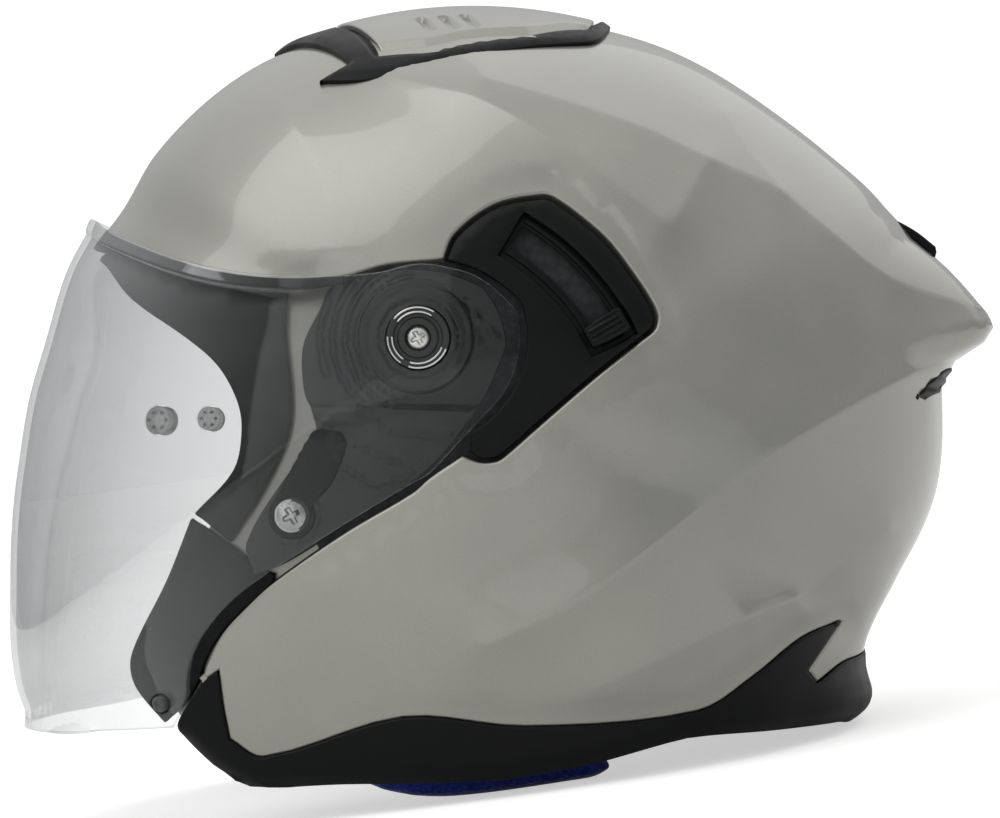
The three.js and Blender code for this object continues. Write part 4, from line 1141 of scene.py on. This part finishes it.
def cross_head(x, centre, radius, wall, dome):
    """Round screw head with a cross recess, on a plane square to X."""
    def shape(p):
        off = p[:, 1:] - np.array(centre)
        r = np.hypot(off[:, 0], off[:, 1])
        a = math.radians(28)
        u = off[:, 0] * math.cos(a) + off[:, 1] * math.sin(a)
        v = -off[:, 0] * math.sin(a) + off[:, 1] * math.cos(a)
        half = radius * 0.13
        arm = radius * 0.62
        slot_u = smooth((half + 0.25 - np.abs(v)) / 0.3) * smooth((arm - np.abs(u)) / 0.5)
        slot_v = smooth((half + 0.25 - np.abs(u)) / 0.3) * smooth((arm - np.abs(v)) / 0.5)
        return dome * (1 - (r / radius) ** 2) - 1.3 * np.maximum(slot_u, slot_v)

    return panel(Flat(x), arc(centre, radius, 0, 350, 35), 0, wall, 0.3, 0.3, shape,
                 smooth_line=False)


at, n = surface_normal(VISOR, *PINLOCK)
pin = turned(bead([(0.6, 0.9), (2.0, 0.9), (2.3, 0.3), (3.2, 0.3), (3.5, 0.9), (4.6, 0.9),
                   (4.6, -4.6), (0.6, -4.6)])[::-1], at, n)
for t in np.linspace(0, 2 * math.pi, 6, endpoint=False):
    around = 2.75 * (math.cos(t) * np.array([0, 1, 0]) + math.sin(t) * np.array([0, 0, 1]))
    pin += turned(bead([(0.15, 0.9), (0.62, 0.9), (0.62, 0.2), (0.15, 0.2)][::-1], 0.15),
                  at + around, n, 12)
catch = turned(bead([(0.3, -3.2), (2.8, -3.2), (2.8, 0.7), (2.2, 1.2), (1.2, 1.2), (0.9, 0.8),
                     (0.3, 0.8)]), *surface_normal(VISOR, *STUD), 28)


RING_FACE = 120.2
ring = panel(Flat(RING_FACE), arc((0, 0), 17, 0, 354, 59), 0, 2, 0.4, 1.5,
             lambda p: 0.35 * np.cos(np.hypot(p[:, 1], p[:, 2]) * 2 * math.pi / 3.4) - 0.35,
             holes=[arc((0, 0), HUB_BORE, 0, 354, 40)], smooth_line=False)


# ---- visor mechanism: base plate, release lever and screws ----------------------------------
# Arc ribs of the plate: radius, and the angles between which they run.
ARC_RIBS = [(19.6, 95, 262), (23.4, 110, 250), (27.4, 100, 236), (31.4, 118, 205)]
GROOVE = [(-36, -22), (24, -22)]
LINE_RIBS = [
    [(-30, -26), (-14, -26), (-8, -31), (10, -31)], [(-20, -34), (-6, -40)],
    [(-26, -40), (-14, -47), (-2, -43)], [(8, 14), (22, -4)], [(14, 12), (25, 0)],
    [(-28, 12), (-31, 4)]]
ARROW = [(-34.5, -31), (-34, -25.5), (-27.5, -27.5), (-34.5, -31)]


def plate_height(p):
    y, z = p[:, 1], p[:, 2]
    r = np.hypot(y, z)
    a = np.degrees(np.arctan2(z, y)) % 360
    total = np.full(len(p), -0.2)
    for radius, low, high in ARC_RIBS:
        total += 1.1 * ridge(r, radius, 0.75, 4) * smooth((a - low) / 3) * smooth((high - a) / 3)
    boss = np.hypot(y - BASE_SCREW[0], z - BASE_SCREW[1])
    total += 0.8 * ridge(boss, 8.6, 0.7, 4) * (y > BASE_SCREW[0] - 3)
    total -= 0.9 * ridge(to_line(p[:, 1:], GROOVE)[0], 0, 0.8, 4)
    for line in LINE_RIBS:
        total += 0.9 * ridge(to_line(p[:, 1:], line)[0], 0, 0.7, 4)
    oval = np.hypot((y + 18) / 1.6, z + 22.5)
    total += 0.8 * ridge(oval, 1.7, 0.5, 4)
    return total + 0.7 * ridge(to_line(p[:, 1:], ARROW)[0], 0, 0.5, 4)


HUB_X = 117.6
base = panel(SHELL, PLATE, -4.7, 2.7, 0.5, 0.75, plate_height,
             holes=[arc((0, 0), 17.6, 0, 354, 40)])
base += panel(Flat(117.2), arc((0, 0), 19, 0, 354, 50), 0, 2.0, 0.4, 2.0, smooth_line=False)
base += turned(bead([(4.2, 6.6), (6.2, 6.6), (6.6, 5.9), (7.6, 5.9), (8.0, 6.6), (10, 6.6),
                     (10, -3), (4.2, -3)][::-1]), (HUB_X, 0, 0), (1, 0, 0), 56)
base += turned(bead([(0.4, -3), (4.4, -3), (4.4, 3.6), (0.4, 3.6)]), (HUB_X, 0, 0), (1, 0, 0), 32)

clip = None
for start, stop in ((58, 142), (178, 236), (252, 338)):
    for near, far in ((7.9, 8.5), (9.3, 9.9)):
        strand = panel(Flat(124.9), arc((0, 0), far, start, stop, 16)
                       + arc((0, 0), near, stop, start, 16), 0, 1.1, 0.2, 0.5,
                       smooth_line=False)
        clip = clip + strand if clip else strand

screw_x = surface_normal(SHELL, *BASE_SCREW, -4.4)[0][0]
plate_screw = cross_head(screw_x + 0.3, BASE_SCREW, 4.8, 1.8, 0.9)
plate_screw += panel(Flat(screw_x - 0.3), arc(BASE_SCREW, 5.6, 0, 350, 35), 0, 1.4, 0.4, 0.8,
                     smooth_line=False)


def lever_height(p):
    grip = np.cos(to_line(p[:, 1:], [(-40, -40), (-22, -34)])[0] * 2.6)
    return 0.4 * grip * smooth((p[:, 2] + 42) / 3)


lever = panel(SHELL, RELEASE, -3.9, 1.9, 0.5, 1.2, lever_height,
              holes=[arc(BASE_SCREW, 5.6, 0, 350, 24)], sharp=60)
# Pieces on both sides: name, shape, material, body and the CAD node that each stands for.
BOTH_SIDES = [
    ("anti_fog_pin", pin, PIN, "visor", "pinlock_pin"),
    ("visor_catch", catch, PIN, "visor", "visor_stud"),
    ("visor_ring", ring, GREY, "visor", "visor_lock_ring"),
    ("mechanism_base", base, GREY, "shell", "base_plate"),
    ("hub_clip", clip, STEEL, "shell", None),
    ("hinge_screw", cross_head(122.6, (0, 0), 4.0, 1.6, 1.0), STEEL, "shell", "pivot_screw"),
    ("plate_screw", plate_screw, STEEL, "shell", "base_screw"),
    ("visor_release", lever, BLACK, "release", "release_lever"),
]
for name, side in SIDES:
    for piece, part, material, body, node in BOTH_SIDES:
        body = f"release_{name}" if body == "release" else body
        place(f"{piece}_{name}", part, material, body, [f"{node}_{name}"] if node else [], side)


# ---- sun visor ------------------------------------------------------------------------------
sun_outline = (arc(SUN_PIVOT, 125, 94, 136, 20) + [polar(64, 137), polar(11, 165)]
               + arc(SUN_PIVOT, 9, 180, 430, 20) + [polar(58, 107), polar(56, 94)])
sun_part = panel(SUN, sun_outline, 0, 2, 0.5, 3.0, None, both=True, sharp=25)
place("sun_shade", sun_part, SMOKE, "sun_visor", ["sun_visor_lens"])
for name, side in SIDES:
    # The left arm ends in a narrow tip under the slider knob's stem.
    tip = [polar(91, 25.9), polar(91, 34.1)] if side > 0 else [polar(26, 10), polar(26, 50)]
    outline = [*arc(SUN_PIVOT, 9, 60, 360, 18), *tip]
    arm = panel(Flat(100.9), outline, 0, 3.4, 0.6, 2.0, sharp=40,
                holes=[arc(SUN_PIVOT, 3.4, 0, 340, 18)])
    place(f"sun_shade_arm_{name}", arm, GREY, "sun_visor",
          [f"sun_visor_arm_{name}"], side)
    low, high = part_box(f"sun_visor_pin_{name}")
    reach = max(abs(low[0]), abs(high[0])) * 1000
    pin = turned(bead([(0.3, 90), (6, 90), (6, 92.4), (2.9, 92.4), (2.9, reach), (0.3, reach)]),
                 (0, *SUN_PIVOT), (1, 0, 0), 32)
    place(f"sun_shade_pin_{name}", pin, STEEL, "shell", [f"sun_visor_pin_{name}"], side)

# ---- rear vents -----------------------------------------------------------------------------
EXHAUST = [(157, 37), (159.4, 44.2), (169, 39), (176.2, 33.4), (176.8, 30.2), (170, 27),
           (160, 30)]
exhaust = panel(Flat(20.4), grow(EXHAUST, -1.6), 0, 40.8, 1.0, 2.2, sharp=25)
for x in (-14.0, -5.4, 3.2, 11.8, 20.4):
    exhaust += panel(Flat(x), EXHAUST, 0, 6.4, 1.1, 2.0, sharp=25)
place("rear_exhaust_vent", exhaust, BLACK, "shell", ["rear_exhaust"])
rear_outline = np.array([(14.4, -8.4), (30, -8.9), (44, -10.4), (54, -14.2), (62.5, -19),
                         (55, -19.8), (36, -16.6), (14.4, -14.4)])
dense = resample(rear_outline, 1.5)
rear_q = SHELL.q_search(dense[:, 0], dense[:, 1], 2, -60, 60, 0.6)
rear_vent = panel(SHELL, rear_q[::-1], 0.7, 5, 0.6, 1.2,
                  lambda p: shell_height(p) + 0.4 * np.cos(p[:, 2] * 2 * math.pi / 3.4),
                  in_q=True, smooth_line=False)
for name, side in SIDES:
    place(f"rear_wedge_vent_{name}", rear_vent, BLACK, "shell", [f"rear_vent_{name}"], side)


# ---- liner and pads -------------------------------------------------------------------------
def depth_to(form, off, most):
    """Wall function: how far each point can go inwards before it meets another form."""
    def find(p, n):
        low, high = np.zeros(len(p)), np.full(len(p), float(most))
        for _ in range(18):
            middle = (low + high) / 2
            stop = form.inside(p - n * middle[:, None], off) < 0
            high, low = np.where(stop, middle, high), np.where(stop, low, middle)
        return np.maximum(high, 2.0)
    return find


def liner_height(p):
    """Room for the lowered sun visor between the shell and the liner."""
    off = p[:, 1:] - np.array(SUN_PIVOT)
    r = np.hypot(off[:, 0], off[:, 1])
    a = np.degrees(np.arctan2(off[:, 1], off[:, 0])) % 360
    share = smooth((a - 82) / 6) * smooth((219 - a) / 6) * smooth((150 - r) / 5)
    n = unit(np.stack([p[:, 0] * 1.1, p[:, 1] - 35, p[:, 2] + 20], 1))
    return -share * np.minimum(depth_to(SUN, -3.8, 40)(p, n), 34)


def liner_wall(p, n):
    moved = p + n * liner_height(p)[:, None]
    return np.maximum(depth_to(HEAD, 0.4, 60)(moved, n), 3)


liner = panel(SHELL, LINER, -5.2, liner_wall, 0.8, 4.2, liner_height, both=True)
place("foam_liner", liner, FOAM, "shell", ["eps_liner"])


def quilt(p, _):
    """Comfort pad, padded between seams that run over the head."""
    y, x = p[:, 1], p[:, 0]
    seams = np.stack([np.abs(np.abs(x) - (18 + 0.04 * (y + 30))), np.abs(np.abs(x) - 48),
                      np.abs(y - 20) + 0 * x, np.abs(y - 78)])
    d = seams.min(0)
    return 4.4 + 2.4 * (1 - np.exp(-d / 5))


crown = panel(HEAD, CROWN_PAD, -0.9, quilt, 2.2, 2.6, both=True, low_edge=1.8, rings=4)
place("crown_comfort_pad", crown, KNIT, "shell", ["crown_pad"])

SKIRT = [(-16, -86), (30, -80), (56, -86), (240, -78), (240, -118), (120, -119), (60, -124),
         (-16, -127)]
skirt = panel(SHELL, SKIRT, -5.4, 2.6, 1.0, 3.4, both=True, low_edge=0.8)
place("neck_skirt", skirt, KNIT, "shell", [])


def inflate(obj, cap, pressure=3.5, voxel=4.5, frames=14):
    """Swells a closed pad as stuffed fabric and keeps each point within a cap of its place."""
    mesh = obj.data
    remesh = obj.modifiers.new("remesh", "REMESH")
    remesh.mode = "VOXEL"
    remesh.voxel_size = voxel / 1000
    bpy.context.view_layer.update()
    graph = bpy.context.evaluated_depsgraph_get()
    fresh = bpy.data.meshes.new_from_object(obj.evaluated_get(graph))
    obj.modifiers.clear()
    obj.data = fresh
    bpy.data.meshes.remove(mesh)
    rest = np.array([v.co for v in obj.data.vertices])
    cloth = obj.modifiers.new("cloth", "CLOTH")
    settings = cloth.settings
    settings.quality = 6
    settings.mass = 0.3
    settings.tension_stiffness = settings.compression_stiffness = 18
    settings.shear_stiffness = 8
    settings.bending_stiffness = 0.6
    settings.use_pressure = True
    settings.uniform_pressure_force = pressure
    settings.effector_weights.gravity = 0
    cloth.point_cache.frame_start, cloth.point_cache.frame_end = 1, frames
    scene = bpy.context.scene
    for number in range(1, frames + 1):
        scene.frame_set(number)
    graph = bpy.context.evaluated_depsgraph_get()
    swollen = obj.evaluated_get(graph).to_mesh()
    moved = np.array([v.co for v in swollen.vertices])
    obj.evaluated_get(graph).to_mesh_clear()
    obj.modifiers.clear()
    shift = moved - rest
    size = np.linalg.norm(shift, axis=1, keepdims=True)
    rest = rest + shift * np.minimum(1, cap / 1000 / np.maximum(size, 1e-9))
    obj.data.vertices.foreach_set("co", rest.astype(np.float32).ravel())
    scene.frame_set(1)


def soften(obj, seams, depth, width):
    """Pulls the pad in along its seams, given as lines of points in worn millimetres."""
    sub = obj.modifiers.new("sub", "SUBSURF")
    sub.levels = sub.render_levels = 1
    smoothing = obj.modifiers.new("smooth", "SMOOTH")
    smoothing.iterations = 4
    graph = bpy.context.evaluated_depsgraph_get()
    fine = bpy.data.meshes.new_from_object(obj.evaluated_get(graph))
    obj.modifiers.clear()
    obj.data = fine
    co = np.array([v.co for v in fine.vertices])
    normals = np.array([v.normal for v in fine.vertices])
    for seam in seams:
        line = row(seam)
        best = np.full(len(co), 1e9)
        for a, b in zip(line[:-1], line[1:]):
            d = b - a
            t = np.clip(((co - a) @ d) / max(d @ d, 1e-12), 0, 1)
            best = np.minimum(best, np.linalg.norm(co - a - t[:, None] * d, axis=1))
        co = co - normals * (depth / 1000 * np.exp(-(best * 1000 / width) ** 2))[:, None]
    fine.vertices.foreach_set("co", co.astype(np.float32).ravel())
    fine.polygons.foreach_set("use_smooth", [True] * len(fine.polygons))


# How far off the mid-plane the cheek pads' inner faces lie.
INNER_FACE = 64.0


def pad_wall(p, n):
    return np.clip((p[:, 0] - INNER_FACE) / np.maximum(n[:, 0], 0.45), 9, 46)


def cushion(name, part, material, side, swell, seams, depth, width, node):
    """A stuffed pad: swell gives inflate its cap and settings, seams are lines to pull in."""
    pad = object_of(name, part, material, side)
    inflate(pad, **swell)
    soften(pad, seams, depth, width)
    ride(pad, "shell", [node])


cheek = panel(SHELL, grow(CHEEK_PAD, -2), -12.4, pad_wall, 5, 3.2, low_edge=4.5, rings=5)
cheek_seam = rounded(grow(CHEEK_PAD, -9), 60)
neck = panel(Flat(94.5), grow(NECK_PAD, -0.5), 0, 13, 4, 2.4, low_edge=4, rings=5, sharp=40)
for name, side in SIDES:
    seam = [(side * (INNER_FACE - 1.5), y, z) for y, z in [*cheek_seam, cheek_seam[0]]]
    cushion(f"cheek_cushion_{name}", cheek, KNIT, side, {"cap": 4.0}, [seam], 1.6, 2.4,
            f"cheek_pad_{name}")
    seam = [(side * 98, -20, -137), (side * 98, 20, -139), (side * 98, 60, -137)]
    cushion(f"neck_cushion_{name}", neck, BLUE, side, {"cap": 2.0, "voxel": 3.2}, [seam], 1.2, 2.0,
            f"neck_pad_{name}")

turn = np.linspace(-1, 1, 41) * math.radians(78)
roll_line = np.stack([70 * np.sin(turn), 62 + 76 * np.cos(turn), -112 + 2.5 * np.cos(turn)], 1)


def tube(line, side_dir, half_wide, half_thick, sections=28, power=2.6, ends=True):
    """Closed bar of superellipse section along a line; it narrows at its ends."""
    line = np.asarray(line, float)
    ahead = unit(np.gradient(line, axis=0))
    wide = unit(np.asarray(side_dir, float) * np.ones_like(line))
    thick = unit(np.cross(ahead, wide))
    wide = unit(np.cross(thick, ahead))
    a = np.linspace(0, 2 * math.pi, sections, endpoint=False)
    cu = np.sign(np.cos(a)) * np.abs(np.cos(a)) ** (2 / power)
    cv = np.sign(np.sin(a)) * np.abs(np.sin(a)) ** (2 / power)
    n = len(line)
    i = np.arange(n)
    taper = np.ones(n)
    if ends:
        near = np.minimum(i, n - 1 - i) / 4.0
        taper = np.sqrt(np.clip(1 - (1 - np.minimum(near, 1)) ** 2, 0.02, 1))
    points = (line[:, None] + wide[:, None] * (half_wide * taper)[:, None, None]
              * cu[None, :, None] + thick[:, None] * (half_thick * taper)[:, None, None]
              * cv[None, :, None])
    normals = unit(wide[:, None] * (np.sign(np.cos(a)) * np.abs(np.cos(a)) ** (2 - 2 / power)
                                    / half_wide)[None, :, None]
                   + thick[:, None] * (np.sign(np.sin(a)) * np.abs(np.sin(a)) ** (2 - 2 / power)
                                       / half_thick)[None, :, None])
    faces = [(k * sections + m, (k + 1) * sections + m, (k + 1) * sections + (m + 1) % sections,
              k * sections + (m + 1) % sections) for k in range(n - 1) for m in range(sections)]
    faces.append(tuple(range(sections)))
    faces.append(tuple((n - 1) * sections + m for m in range(sections))[::-1])
    part = Part(points.reshape(-1, 3), normals.reshape(-1, 3), faces)
    test = np.cross(points[1, 0] - points[0, 0], points[0, 1] - points[0, 0])
    if test @ normals[0, 0] > 0:
        part.faces = [tuple(reversed(f)) for f in part.faces]
    return part


roll_seam = roll_line - unit(roll_line - np.array([0, 60, -112])) * np.array([8.0, 8.0, 0])
cushion("nape_roll", tube(roll_line, (0, 0, 1), 8.4, 8.0, 36, 2.4), KNIT, 1, {"cap": 2.5},
        [roll_seam], 1.4, 2.0, "neck_roll")


# ---- chin strap -----------------------------------------------------------------------------
STRAP_LINE = [(96, -100), (92, -112), (85, -123), (74, -132), (58, -137), (30, -139.5)]


def strap_y(x):
    return -4 + 0.86 * np.maximum(0, np.abs(x) - 30)


def strap_path(line, step, rise=0.0):
    """The strap's line in front view as worn points, moved towards the chin by rise."""
    p = resample(rounded(line, 80, False), step, False)
    ahead = unit(np.gradient(p, axis=0))
    p = p + np.stack([ahead[:, 1], -ahead[:, 0]], 1) * rise
    return np.stack([p[:, 0], strap_y(p[:, 0]), p[:, 1]], 1)


TAPE_HALF, TAPE_SECTIONS, TAPE_POWER = 11, 32, 7.0


def tape(name, path, node, side):
    """Flat webbing along a path, with rounded selvedges and its own tape coordinates."""
    steps = np.linalg.norm(np.diff(path[:, [0, 2]], axis=0), axis=1)
    run = np.concatenate([[0], np.cumsum(steps)])
    part = tube(path, (0, 1, 0), TAPE_HALF, 0.9, TAPE_SECTIONS, TAPE_POWER, ends=False)
    made = object_of(name, part, TAPE, side)
    a = np.linspace(0, 2 * math.pi, TAPE_SECTIONS, endpoint=False)
    wide = np.sign(np.cos(a)) * np.abs(np.cos(a)) ** (2 / TAPE_POWER) * TAPE_HALF / 1000
    across, along = np.tile(wide, len(path)), np.repeat(run / 1000, TAPE_SECTIONS)
    uv = made.data.uv_layers.new(name="tape")
    index = np.zeros(len(made.data.loops), int)
    made.data.loops.foreach_get("vertex_index", index)
    uv.data.foreach_set("uv", np.stack([across, along], 1)[index].astype(np.float32).ravel())
    ride(made, "shell", [node])


for name, side in SIDES:
    tape(f"chin_webbing_{name}", strap_path(STRAP_LINE, 1.6), f"strap_{name}", side)
    path = strap_path(STRAP_LINE[3:], 2.2, 3.3)
    seams = [path * np.array([side, 1, 1]) + np.array([0, shift, 0]) for shift in (-11, 11)]
    cushion(f"chin_cushion_{name}", tube(path, (0, 1, 0), 14.4, 1.9, 36, 3.4), KNIT, side,
            {"cap": 0.8, "pressure": 2.0, "voxel": 1.6}, seams, 0.5, 1.2, f"strap_pad_{name}")
    low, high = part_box(f"strap_anchor_{name}")
    middle = (np.array(low) + np.array(high)) / 2
    worn = (middle - ORIGIN) * 1000 @ AXES.T
    plate = panel(Flat(abs(worn[0]) + 1.1), [(40.4, -115.6), (63.6, -115.6), (63.6, -102.4),
                                              (40.4, -102.4)], 0, 2.2, 0.5, 1.4, None, sharp=30,
                  holes=[[(44, -112), (60, -112), (60, -109.6), (44, -109.6)]])
    place(f"strap_plate_{name}", plate, STEEL, "shell", [f"strap_anchor_{name}"], side)

# ---- ratchet buckle -------------------------------------------------------------------------


def block(x, y, z, radius, bevel_steps=3):
    """Box between pairs of x, y and z in the worn frame with rounded edges."""
    b = bmesh.new()
    bmesh.ops.create_cube(b, size=1)
    for v in b.verts:
        v.co = Vector((x[0] + (v.co.x + 0.5) * (x[1] - x[0]), y[0] + (v.co.y + 0.5) * (y[1] - y[0]),
                       z[0] + (v.co.z + 0.5) * (z[1] - z[0])))
    bmesh.ops.bevel(b, geom=list(b.edges), offset=radius, segments=bevel_steps, profile=0.5,
                    affect="EDGES")
    return b


def solid_of(name, blocks, material, body, nodes):
    """One object from several rounded blocks."""
    joined = bmesh.new()
    scratch = bpy.data.meshes.new("scratch")
    for b in blocks:
        b.to_mesh(scratch)
        joined.from_mesh(scratch)
        b.free()
    bpy.data.meshes.remove(scratch)
    for v in joined.verts:
        v.co = Vector(row([tuple(v.co)])[0])
    mesh = bpy.data.meshes.new(name)
    joined.to_mesh(mesh)
    joined.free()
    mesh.materials.append(material)
    for p in mesh.polygons:
        p.use_smooth = True
    mesh.set_sharp_from_angle(angle=math.radians(38))
    made = bpy.data.objects.new(name, mesh)
    bpy.context.scene.collection.objects.link(made)
    ride(made, body, nodes)


Z = -139.5
frame_blocks = [
    block((-29.5, 2.5), (-17, -11.7), (Z - 4, Z + 4), 1.0),
    block((-29.5, 2.5), (3.7, 9), (Z - 4, Z + 4), 1.0),
    block((-29.4, 2.4), (-16.8, 8.8), (Z + 2.1, Z + 4), 0.7),
    block((-1.4, 2.4), (-16.8, 8.8), (Z - 4, Z - 3.4), 0.25),
]
solid_of("ratchet_frame", frame_blocks, STEEL, "shell", ["buckle_body"])
teeth = [block((-22.4, 29.2), (-11, 3), (Z - 1.2, Z + 1.2), 0.5)]
teeth += [block((-19.8 + i * 3, -17.9 + i * 3), (-10, 2), (Z - 2.2, Z - 0.9), 0.45, 2)
          for i in range(9)]
solid_of("ratchet_strap_end", teeth, GREY, "shell", ["ratchet_tongue"])
pull = [block((-23.6, -4.2), (-10.7, 2.7), (Z - 6.1, Z - 3.9), 0.8)]
pull += [block((-9.4 + i * 1.7, -8.6 + i * 1.7), (-9, 1), (Z - 6.6, Z - 5.8), 0.25, 2)
         for i in range(3)]
solid_of("ratchet_release", pull, RED, "buckle_latch", ["buckle_lever"])
pin = turned(bead([(0.2, -12.4), (1.1, -12.4), (1.1, 12.4), (0.2, 12.4)], 0.3),
             (-25, -4, Z - 2.6), (0, 1, 0), 20)
place("ratchet_pin", pin, STEEL, "shell", ["buckle_pin"])

# ---- floor, light and camera ----------------------------------------------------------------
# Share of white light that the floor adds where the camera sees it.
FLOOR_LIFT = 0.52


def floor_material():
    """Pale sweep, lifted towards white as the camera sees it."""
    m = Shade("studio_floor")
    m.colour(m.noise(2.0, 2), (0.3, linear(230, 230, 229)), (0.7, linear(238, 238, 237)))
    m.set(Roughness=0.9, Specular_IOR_Level=0.0)
    lift = m.node("ShaderNodeEmission")
    m.join(m.span(m.node("ShaderNodeLightPath").outputs["Is Camera Ray"], 0, FLOOR_LIFT),
           lift.inputs["Strength"])
    m.blend("ShaderNodeAddShader", m.shader.outputs["BSDF"], lift.outputs["Emission"])
    return m.material


bpy.ops.mesh.primitive_plane_add(size=30, location=(0, 0, 0))
floor = bpy.context.object
floor.name = "studio_floor"
floor.data.materials.append(floor_material())


def studio_world():
    """White behind the helmet; soft light from above that falls off towards the floor."""
    world = bpy.data.worlds.new("studio")
    world.use_nodes = True
    tree = world.node_tree
    sky = tree.nodes["Background"]
    white = tree.nodes.new("ShaderNodeBackground")
    white.inputs["Color"].default_value = (1.0, 1.0, 1.0, 1.0)
    white.inputs["Strength"].default_value = 1.1
    parts = tree.nodes.new("ShaderNodeSeparateXYZ")
    height = tree.nodes.new("ShaderNodeMapRange")
    height.inputs["From Min"].default_value = -1.0
    ramp = tree.nodes.new("ShaderNodeValToRGB")
    stops = ((0.0, 0.1), (0.45, 0.16), (0.53, 0.34), (0.7, 0.56), (1.0, 1.0))
    while len(ramp.color_ramp.elements) < len(stops):
        ramp.color_ramp.elements.new(0.5)
    for element, (at, value) in zip(ramp.color_ramp.elements, stops):
        element.position = at
        element.color = (value, value, value, 1.0)
    mix = tree.nodes.new("ShaderNodeMixShader")
    join = tree.links.new
    join(tree.nodes.new("ShaderNodeTexCoord").outputs["Generated"], parts.inputs["Vector"])
    join(parts.outputs["Z"], height.inputs["Value"])
    join(height.outputs["Result"], ramp.inputs["Fac"])
    join(ramp.outputs["Color"], sky.inputs["Color"])
    join(tree.nodes.new("ShaderNodeLightPath").outputs["Is Camera Ray"], mix.inputs["Fac"])
    join(sky.outputs["Background"], mix.inputs[1])
    join(white.outputs["Background"], mix.inputs[2])
    join(mix.outputs["Shader"], tree.nodes["World Output"].inputs["Surface"])
    return world


bpy.context.scene.world = studio_world()


def area(name, at, target, size, power):
    data = bpy.data.lights.new(name, "AREA")
    data.shape = "RECTANGLE"
    data.size, data.size_y = size
    data.energy = power
    made = bpy.data.objects.new(name, data)
    bpy.context.scene.collection.objects.link(made)
    made.location = at
    made.rotation_euler = (Vector(target) - Vector(at)).to_track_quat("-Z", "Y").to_euler()


HEART = (0.0, 0.0, 0.13)
area("key", (0.7, -0.75, 1.5), HEART, (1.6, 1.3), 8)
area("fill", (1.9, -0.6, 0.55), HEART, (1.4, 1.0), 3)
area("back", (-0.9, 0.9, 1.2), HEART, (1.4, 1.4), 2)

# Focal length for the sensor's width, and the eye: distance off the mid-plane, and (y, z).
LENS, SENSOR, DISTANCE, EYE = 133.7, 36, 1300, (26, -22.6)
camera_data = bpy.data.cameras.new("camera")
camera_data.lens = LENS
camera_data.sensor_width = SENSOR
camera = bpy.data.objects.new("camera", camera_data)
bpy.context.scene.collection.objects.link(camera)
eye = row([(DISTANCE, *EYE)])[0]
turn = np.eye(4)
turn[:3, 0], turn[:3, 1], turn[:3, 2], turn[:3, 3] = BACK, UP, (1, 0, 0), eye
camera.matrix_world = Matrix(turn.tolist())
bpy.context.scene.camera = camera
bpy.context.scene.view_settings.view_transform = "Standard"
